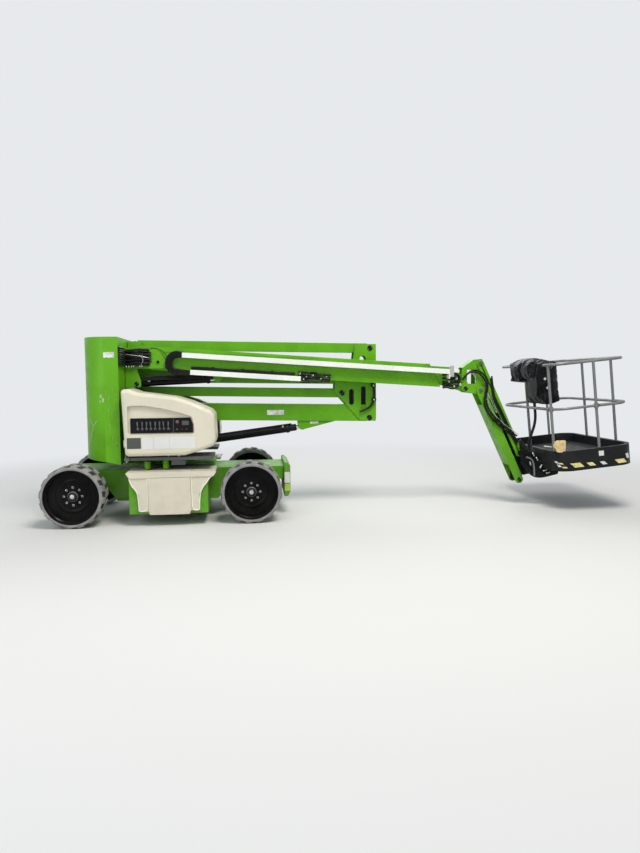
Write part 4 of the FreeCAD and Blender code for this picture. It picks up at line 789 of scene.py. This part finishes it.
def head_details():
    """Hose bundle with its fittings across the head, the bright pipe, and the ear's edge and bolt."""
    rng = random.Random(5)
    runs = []
    for k in range(8):
        z = 1832 + 26 * k
        sag = [rng.uniform(-7, 7) for _ in range(4)]
        runs.append([(-474, -268, z + sag[0]), (-452, -286, z + sag[0]), (-400, -297, z + sag[1]),
                     (-330, -299, z + sag[2]), (-262, -295, z + sag[3]), (-214, -276, z + sag[3]),
                     (-196, -266, z)])
    bundle = hoses("head_bundle", runs, 12.5, "head")
    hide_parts("head_hoses")
    fanned = []
    for k in range(5):
        z = 1850 + 38 * k
        fanned.append([(-470, -300, z), (-430, -312, z + rng.uniform(-16, 16)),
                       (-340, -315, z + rng.uniform(-20, 20)), (-260, -311, z + rng.uniform(-20, 20)),
                       (-205, -292, z + rng.uniform(-10, 10)), (-170, -272, z * 0.6 + 1925 * 0.4)])
    hoses("head_fan", fanned, 8.5, "head")
    # Black hoses across the tower's hollow front: a dark sheet standing in for the shade inside the hollow,
    # painted shade.
    across = [[(-474, -640, 1826 + 25 * k), (-472, -520, 1830 + 25 * k + rng.uniform(-8, 8)),
               (-472, -340, 1826 + 25 * k)] for k in range(9)]
    hoses("tower_front_shade_hoses", across, 12, "superstructure")
    bm = bmesh.new()
    for k, x in enumerate((-462, -430, -398, -372, -302, -276)):
        spot = at(x, -304, 1822)
        nut(bm, spot + Vector((0, 0, 0.006)), (0, 0, -1), 17, 16, 0, 0.3 * k)
        lathe(bm, spot, (0, -1, 0.15), [(8, -8), (8, 6), (6, 9), (0, 9)], 12, 0)
    piece("head_fittings", bm, "steel", "head", bevel=0.8)
    pipe = [(-466, -318, 1962), (-430, -326, 1958), (-330, -326, 1945), (-285, -325, 1939),
            (-262, -320, 1918), (-258, -316, 1880), (-282, -312, 1842)]
    branch = [(-262, -318, 1932), (-225, -312, 1928), (-190, -292, 1918)]
    hoses("head_pipe", [pipe, branch], 4.2, "head", "steel")
    bm = bmesh.new()
    x, z, inner, outer = -150, 1862, 171, 178
    turns = [math.radians(4 + 9.6 * k) for k in range(11)]
    for a, b in zip(turns, turns[1:]):
        corners = ((outer, a), (outer, b), (inner, b), (inner, a))
        plate_y(bm, [(x + r * math.cos(t), z + r * math.sin(t)) for r, t in corners], (-259.5, -254))
    piece("ear_edge", bm, "rubber", "head", bevel=1.5)
    bm = bmesh.new()
    nut(bm, at(-93, -255, 1871), (0, -1, 0), 32, 12, 0)
    lathe(bm, at(-93, -255, 1871), (0, -1, 0), [(30, 0), (30, 2.5), (27, 4), (0, 4)], 32, 1)
    piece("ear_bolt", bm, "black_paint green", "head", bevel=0.8)
    bm = bmesh.new()
    block(bm, (-478, -466), (-244, -238), (1575, 1805), 0)
    piece("head_edge_strip", bm, "green", "head", bevel=2)


# Boom

def boom_vector(u, v):
    """Place, in the machine's x and z, of a length along the boom and a height square to it."""
    c, s = math.cos(BOOM_TILT), math.sin(BOOM_TILT)
    return (BOOM_FOOT[0] + u * c - v * s, BOOM_FOOT[1] + u * s + v * c)


def chain_hoses():
    """Hoses carried by the chain: round the rear turn and into both trays."""
    u0, v0 = CHAIN_LOOP
    turns = [math.radians(t) for t in range(90, 271, 20)]
    for k, (radius, y, thick) in enumerate(((142, -300, 9), (126, -304, 7), (84, -300, 9), (72, -284, 8),
                                            (134, -282, 8))):
        spread = (radius - CHAIN_LOOP_R) * 0.35
        places = [boom_vector(u, v0 + 100 + spread) for u in (640, 560)]
        places += [boom_vector(u0 + radius * math.cos(a), v0 + radius * math.sin(a)) for a in turns]
        places += [boom_vector(u, v0 - 100 - spread) for u in (560, 700)]
        hose(f"chain_hose_{k + 1}", [(x, y, z) for x, z in places], thick, "hose_chain")


def boom_clutter():
    """Clips, loose hoses and unions of the outer boom, its wire loop, and the hoses by the fixed tray."""
    bm = bmesh.new()
    for u in (820, 1180, 1540):
        x, z = boom_vector(u, -150)
        block(bm, (x - 14, x + 14), (-252, -234), (z - 20, z + 20), 0)
        nut(bm, at(x, -252, z), (0, -1, 0), 14, 6, 1)
    piece("boom_clips", bm, "black_paint steel", "outer_boom", bevel=1.5)
    rng = random.Random(3)
    runs = []
    for k in range(11):
        points = []
        for j in range(7):
            u = 1860 + j * 66 + rng.uniform(-12, 12)
            points.append((u, -130 - 11 * k + rng.uniform(-16, 16) + 10 * math.sin(j * 0.9 + k)))
        runs.append([(x, -248 - rng.uniform(0, 30), z) for x, z in [boom_vector(*q) for q in points]])
    hoses("boom_clutter", runs, 7.5, "outer_boom")
    bm = bmesh.new()
    for u, v, r in ((1880, -150, 16), (1960, -178, 12), (2040, -160, 15), (2140, -196, 13), (2210, -168, 12),
                    (1930, -212, 12)):
        x, z = boom_vector(u, v)
        nut(bm, at(x, -270, z), (0, -1, 0.3), r, 12, 0, u)
    piece("boom_unions", bm, "steel", "outer_boom", bevel=0.8)
    wire = [(3205, -238, 1825), (3212, -252, 1842), (3240, -254, 1840), (3262, -250, 1806),
            (3268, -238, 1788)]
    hose("boom_tip_wire", wire, 3.5, "outer_boom", "steel")
    lying = []
    for v, y, wave in ((-171, -256, 2), (-157, -257, 2), (-146, -255, 3)):
        points = [boom_vector(u, v + wave * math.sin(u / 90)) for u in range(560, 1890, 70)]
        lying.append([(x, y, z) for x, z in points])
    hoses("tray_hoses", lying, 8, "outer_boom")
    under = []
    for k in range(4):
        under.append([(-300 + 10 * k, -225 - 8 * k, 1680 - 9 * k), (-100, -232 - 8 * k, 1705 - 14 * k),
                      (150, -228 - 6 * k, 1700 - 14 * k), (400, -228 - 6 * k, 1712 - 12 * k),
                      (560, -232 - 6 * k, 1700 - 14 * k)])
    hoses("under_boom_hoses", under, 7, "head")


def stack_marks():
    """Blank plates on the lower arm."""
    for name, x, z, y, corner in (("arm_plate", (1211, 1426), (1200, 1262), -20, 4),
                                  ("lug_plate", (1760, 1862), (1082, 1112), -2, 3)):
        bm = bmesh.new()
        label(bm, x, z, y, 0, 0.9, corner)
        piece(name, bm, "label_scuffed", "lower_arm")


def barrel_lines():
    """Hard lines along the top of the lower lift cylinder."""
    x, z = LOWER_BASE
    dx, dz = 1563 / 1575.7, 200 / 1575.7
    up = 52
    profile = ((250, 48), (290, up), (700, up), (1100, up), (1400, up), (1440, 50))
    runs = [[(x + dx * u - dz * v, y, z + dz * u + dx * v) for u, v in profile] for y in (42, 70)]
    hoses("lower_lines", runs, 8, "lower_barrel")


def cylinder_trim():
    """Gland nuts, ports and hard pipes of the lift cylinders, and the lower one's collar."""
    for name, body, base, eye, y, length, r in (
            ("lower", "lower_barrel", LOWER_BASE, (1663, 1045), STACK_Y, 1410, 50),
            ("boom", "boom_barrel", (-349, 1609), (610, 1655), -150, 870, 36)):
        dx, dz = eye[0] - base[0], eye[1] - base[1]
        span = math.hypot(dx, dz)
        dx, dz = dx / span, dz / span
        bm = bmesh.new()
        if name == "lower":
            collar = at(base[0] + dx * (length - 4), y, base[1] + dz * (length - 4))
            ring_lathe(bm, collar, (dx, 0, dz), [(29, 0), (44, 0), (44, 84), (40, 92), (29, 92)], 40, 0)
        tip = at(base[0] + dx * (length - 46), y, base[1] + dz * (length - 46))
        gland = [(r + 0.2, 0), (r + 7, 2), (r + 7, 30), (r + 3, 40), (r + 0.2, 44)]
        ring_lathe(bm, tip, (dx, 0, dz), gland, 40, 0)
        for u in (130, length - 90):
            spot = at(base[0] + dx * u, y - r * 0.7, base[1] + dz * u + r * 0.7)
            nut(bm, spot, (0, -0.7, 0.7), 26, 16, 1)
        piece(f"{name}_gland", bm, "black_paint steel", body, bevel=1)
        points = [(base[0] + dx * u, y - r - 8, base[1] + dz * u + 12)
                  for u in (130, 300, length / 2, length - 240, length - 90)]
        hose(f"{name}_pipe", points, 6, body, "black_paint")


# Jib and platform

def jib_details():
    """Hoses over the nose and down the jib, unions at the boom's nose, and the jib's pin ends."""
    upper = [(3690, -262, 1640), (3740, -270, 1712), (3830, -284, 1752), (3936, -288, 1700),
             (3990, -288, 1620), (3996, -288, 1530), (3982, -288, 1440), (3968, -288, 1376)]
    over = [[(x - 16 * k, y - 3 * k, z - 14 * k) for x, y, z in upper] for k in (0, 1.4)]
    hoses("nose_hoses", over, 11, "nose_knuckle")
    lower = [(3966, -286, 1360), (3972, -286, 1290), (4034, -286, 1184), (4139, -286, 1069),
             (4272, -286, 964), (4376, -288, 892)]
    down = [[(x + 15 * k, y - 5 * k, z + 13 * k) for x, y, z in lower] for k in (-1, 0.6)]
    hoses("jib_run", down, 11, "jib_arm")
    # Thin bright steel line along the top of the jib hoses: a painted highlight of the hoses' sheen.
    hose("jib_hose_highlight", [(x + 28, y - 8, z + 24) for x, y, z in lower], 4, "jib_arm", "steel")
    bm = bmesh.new()
    for x, z in ((4100, 1100), (4296, 938)):
        block(bm, (x - 34, x + 50), (-303, -259), (z - 8, z + 16), 0)
    piece("jib_clamps", bm, "black_paint", "jib_arm", bevel=2)
    rng = random.Random(11)
    runs = []
    for k in range(9):
        z = 1712 - 25 * k
        runs.append([(3425, -216 - rng.uniform(0, 22), z + rng.uniform(-14, 14)),
                     (3480, -222 - rng.uniform(0, 30), z + rng.uniform(-26, 26)),
                     (3540, -222 - rng.uniform(0, 34), z + rng.uniform(-34, 34)),
                     (3600, -222 - rng.uniform(0, 30), z + rng.uniform(-24, 24)),
                     (3655, -216 - rng.uniform(0, 14), (z + 1600) / 2 + rng.uniform(-14, 14))])
    hoses("nose_cables", runs, 8.5, "inner_boom")
    bm = bmesh.new()
    for x, z, r in ((3540, 1712, 20), (3600, 1640, 22), (3650, 1560, 24), (3570, 1540, 18),
                    (3500, 1600, 18)):
        nut(bm, at(x, -250, z), (0, -1, 0.2), r, 14, 0, x)
    piece("nose_unions", bm, "steel", "inner_boom", bevel=0.8)
    arcs = [[(3766 - 6 * k, -245, 1736 - z), (3800, -247, 1728 - z), (3838, -246, 1690 - z),
             (3852, -244, 1640 - z), (3846, -242, 1590 - z)] for k, z in ((0, 0), (1, 20))]
    hoses("nose_arcs", arcs, 4.5, "nose_knuckle", "steel")
    bm = bmesh.new()
    jib_pins(bm, JIB_FOOT_PINS)
    piece("carrier_pins", bm, "black_paint steel", "carrier", bevel=0.8)
    bm = bmesh.new()
    pin_head(bm, 3721, -245, 1512, JIB_PIN_R)
    piece("nose_pin", bm, "black_paint steel", "inner_boom", bevel=0.8)


def carrier_hoses():
    """Hoses from the jib's foot round under the platform's corner, with the bent grey pipe."""
    rng = random.Random(19)
    runs = []
    for k in range(20):
        row, deep = k // 2, k % 2
        y = -318 - 26 * (1 - deep) - rng.uniform(0, 22)
        path = [(4398 + 3 * row, 852 - 30 * row), (4476 + 2 * row, 768 - 32 * row), (4572, 652 - 27 * row),
                (4652, 545 - 17 * row), (4760, 482 - 9 * row), (4884, 470 - 4 * row)]
        runs.append([(x, y - 10 * j, z - 15 * deep + rng.uniform(-9, 9)) for j, (x, z) in enumerate(path)])
    hoses("carrier_hoses", runs, 10.5, "carrier")
    pipe = [(4462, -402, 640), (4508, -406, 628), (4546, -406, 600), (4562, -406, 545),
            (4570, -406, 470), (4574, -406, 400)]
    hose("carrier_bright", pipe, 11, "carrier", "zinc")
    bm = bmesh.new()
    for x, y, z, lean in ((4650, -424, 520, 0.5), (4700, -430, 470, 1.2), (4560, -404, 668, -0.6),
                          (4606, -412, 612, -0.6), (4520, -400, 560, -0.3), (4740, -436, 440, 1.3)):
        spot = at(x, y, z)
        axis = Vector((math.sin(lean), -0.15, math.cos(lean)))
        lathe(bm, spot, axis, [(8, -26), (11, -20), (11, 8), (8, 14), (8, 26), (0, 26)], 14, 0)
    piece("carrier_fittings", bm, "steel", "carrier", bevel=0.8)


def tray_end():
    """Bracket, screw heads and the bright tip at the front of the sliding tray."""
    bm = bmesh.new()
    block(bm, (3491, 3543), (-327, -321), (1662, 1800), 0)
    plate_y(bm, [(3541, 1772), (3612, 1746), (3612, 1712), (3541, 1716)], (-324, -300), 1)
    for x, z in ((3505, 1786), (3529, 1786), (3505, 1676), (3529, 1676)):
        nut(bm, at(x, -327, z), (0, -1, 0), 13, 6, 0)
    piece("tray_bracket", bm, "steel white", "inner_boom", bevel=1.2)


def tilted(x, y, z):
    """Place on the platform, from its own measures about the middle of its rim."""
    c, s = math.cos(PLATFORM_TILT), math.sin(PLATFORM_TILT)
    return (PLATFORM_MIDDLE[0] + x * c - z * s, y, PLATFORM_MIDDLE[1] + x * s + z * c)


def tilted_block(bm, x, y, z, slot=0):
    ring = ((x[0], z[0]), (x[1], z[0]), (x[1], z[1]), (x[0], z[1]))
    prism(bm, [at(*tilted(u, y[0], v)) for u, v in ring], Vector((0, (y[1] - y[0]) / 1000, 0)), slot)


def on_tub_wall(s, height):
    """Place on the tub's outer wall, by the length along it from the middle of its right side."""
    past = abs(s) - TUB_FLAT_X
    if past <= 0:
        return at(*tilted(s, -TUB_FLAT_Y - TUB_CORNER_R, height))
    turn = min(past / TUB_CORNER_R, math.pi / 2)
    x = math.copysign(TUB_FLAT_X + TUB_CORNER_R * math.sin(turn), s)
    return at(*tilted(x, -TUB_FLAT_Y - TUB_CORNER_R * math.cos(turn), height))


def wall_strip(bm, s0, s1, lean, z, slot=0):
    """Slanted bar on the tub's outer wall."""
    steps = 5
    rows = []
    for k in range(steps + 1):
        s = s0 + (s1 - s0) * k / steps
        rows.append((bm.verts.new(on_tub_wall(s + lean, z[0])), bm.verts.new(on_tub_wall(s, z[1]))))
    for low, high in zip(rows, rows[1:]):
        bm.faces.new((low[0], high[0], high[1], low[1])).material_index = slot


def hazard_marks():
    """Slanted bars and a blank plate on the tub's wall, and the pad and strip inside the tub."""
    bm = bmesh.new()
    for s0, s1, lean, z, slot in ((-545, -505, 55, (-190, -120), 1), (-492, -440, 60, (-205, -140), 0),
                                  (-352, -232, 55, (-205, -150), 0), (-150, -75, 45, (-205, -162), 0),
                                  (18, 75, 40, (-208, -168), 1), (210, 330, 45, (-215, -165), 0),
                                  (360, 420, 20, (-170, -110), 1), (470, 500, 6, (-190, -150), 1),
                                  (520, 590, 45, (-215, -165), 0)):
        wall_strip(bm, s0, s1, lean, z, slot)
    wall_strip(bm, 14, 78, 0, (-98, -38), 1)
    piece("hazard_bars", bm, "yellow label", "platform", smooth=False)
    bm = bmesh.new()
    ring = [(4622, 812), (4640, 868), (4668, 884), (4770, 884), (4778, 870), (4776, 742), (4700, 736),
            (4664, 748), (4650, 790), (4630, 800)]
    plate_y(bm, ring, (-822, -806), 0)
    plate_y(bm, [(4556, 802), (4656, 790), (4656, 800), (4556, 814)], (-712, -700), 1)
    piece("tub_pad", bm, "label_tan label", "platform", bevel=3)


# Soft cover

def console_bag():
    """Crumpled black cover over the console, filled a little by simulation."""
    bm = bmesh.new()
    for x, y, z in (((-496, -284), (-604, -40), (578, 1092)), ((-576, -330), (-90, 236), (858, 1108)),
                    ((-548, -296), (-420, 180), (900, 1118))):
        tilted_block(bm, x, y, z)
    made = piece("console_bag", bm, "cover", "platform")
    made.modifiers.clear()
    fine = 0.010
    frames, reach = 14, 0.030
    for kind, settings in (("REMESH", {"mode": "VOXEL", "voxel_size": fine}),
                           ("SMOOTH", {"factor": 0.6, "iterations": 14})):
        modifier = made.modifiers.new(kind.lower(), kind)
        for key, value in settings.items():
            setattr(modifier, key, value)
    graph = bpy.context.evaluated_depsgraph_get()
    mesh = bpy.data.meshes.new_from_object(made.evaluated_get(graph))
    made.modifiers.clear()
    made.data = mesh
    start = [v.co.copy() for v in mesh.vertices]
    for v in mesh.vertices:
        v.co += v.normal * crumple(v.co)
    cloth = made.modifiers.new("cloth", "CLOTH")
    cloth.settings.use_pressure = True
    cloth.settings.uniform_pressure_force = 2.0
    cloth.settings.effector_weights.gravity = 0
    cloth.settings.quality = 4
    cloth.point_cache.frame_end = frames
    for step in range(1, frames + 1):
        scene.frame_set(step)
    graph = bpy.context.evaluated_depsgraph_get()
    blown = bpy.data.meshes.new_from_object(made.evaluated_get(graph))
    made.modifiers.clear()
    made.data = blown
    scene.frame_set(1)
    for v, home in zip(blown.vertices, start):
        step = v.co - home
        if step.length > reach:
            v.co = home + step * (reach / step.length)
    mesh = blown
    mesh.materials.clear()
    mesh.materials.append(M["cover"])
    mesh.shade_smooth()
    soft = made.modifiers.new("soft", "SUBSURF")
    soft.levels = soft.render_levels = 1
    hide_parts("console_cover")


def crumple(place):
    """Depth of the folds at a place: sharp creases that wander, with small wrinkles over them."""
    warp = noise.noise_vector(place * 5.0) * 0.09
    folds = noise.ridged_multi_fractal((place + warp) * 6.5, 0.9, 2.1, 2, 0.9, 2.0)
    small = noise.noise((place + warp) * 21.0)
    return -0.026 * min(folds, 1.6) / 1.6 + 0.005 * small + 0.006


def cover_details():
    """Fasteners on the cover."""
    bm = bmesh.new()
    for px, pz in ((-470, 884), (-448, 772)):
        spot = at(*tilted(px, -616, pz))
        lathe(bm, spot, (0, -1, 0), [(16, 0), (16, 3), (9, 6), (0, 6)], 20, 0)
    piece("cover_studs", bm, "label", "platform", bevel=0.8)


# Chassis trim

def cover_beads():
    """Rolled lips along the wings of the right tray cover, and the bumper's blank plates."""
    left = [(-262, 180), (-268, 360), (-294, 418), (-348, 480), (-366, 553)]
    right = [(410, 180), (412, 362), (454, 444), (503, 499), (534, 556), (572, 570)]
    inner_left = [(-164, 560), (-168, 400), (-172, 260), (-178, 186), (-215, 176), (-252, 178)]
    inner_right = [(322, 560), (326, 400), (330, 260), (336, 186), (365, 176), (400, 178)]
    lines = [[(x, COVER_FACE_Y, z) for x, z in line] for line in (left, right, inner_left, inner_right)]
    hoses("cover_beads", lines, 7.0, "chassis", "bead")
    bm = bmesh.new()
    label(bm, (1404, 1468), (388, 522), BUMPER_FACE_Y, 0, 0.9, 4)
    label(bm, (1404, 1468), (290, 376), BUMPER_FACE_Y, 1, 0.9, 4)
    piece("bumper_plates", bm, "label lime", "chassis")


def add_pieces():
    for end in ENDS:
        for side in SIDES:
            tyre(end, side)
            wheel_trim(end, side)
    hood_labels()
    control_row()
    tower_marks()
    under_hood()
    stack_pins()
    knuckle_trim()
    head_details()
    chain_hoses()
    boom_clutter()
    stack_marks()
    cylinder_trim()
    barrel_lines()
    jib_details()
    tray_end()
    carrier_hoses()
    hazard_marks()
    console_bag()
    cover_details()
    cover_beads()


set_camera()
set_stage()
scene.view_settings.view_transform = "Standard"
dress_cad()
round_cad()
add_pieces()
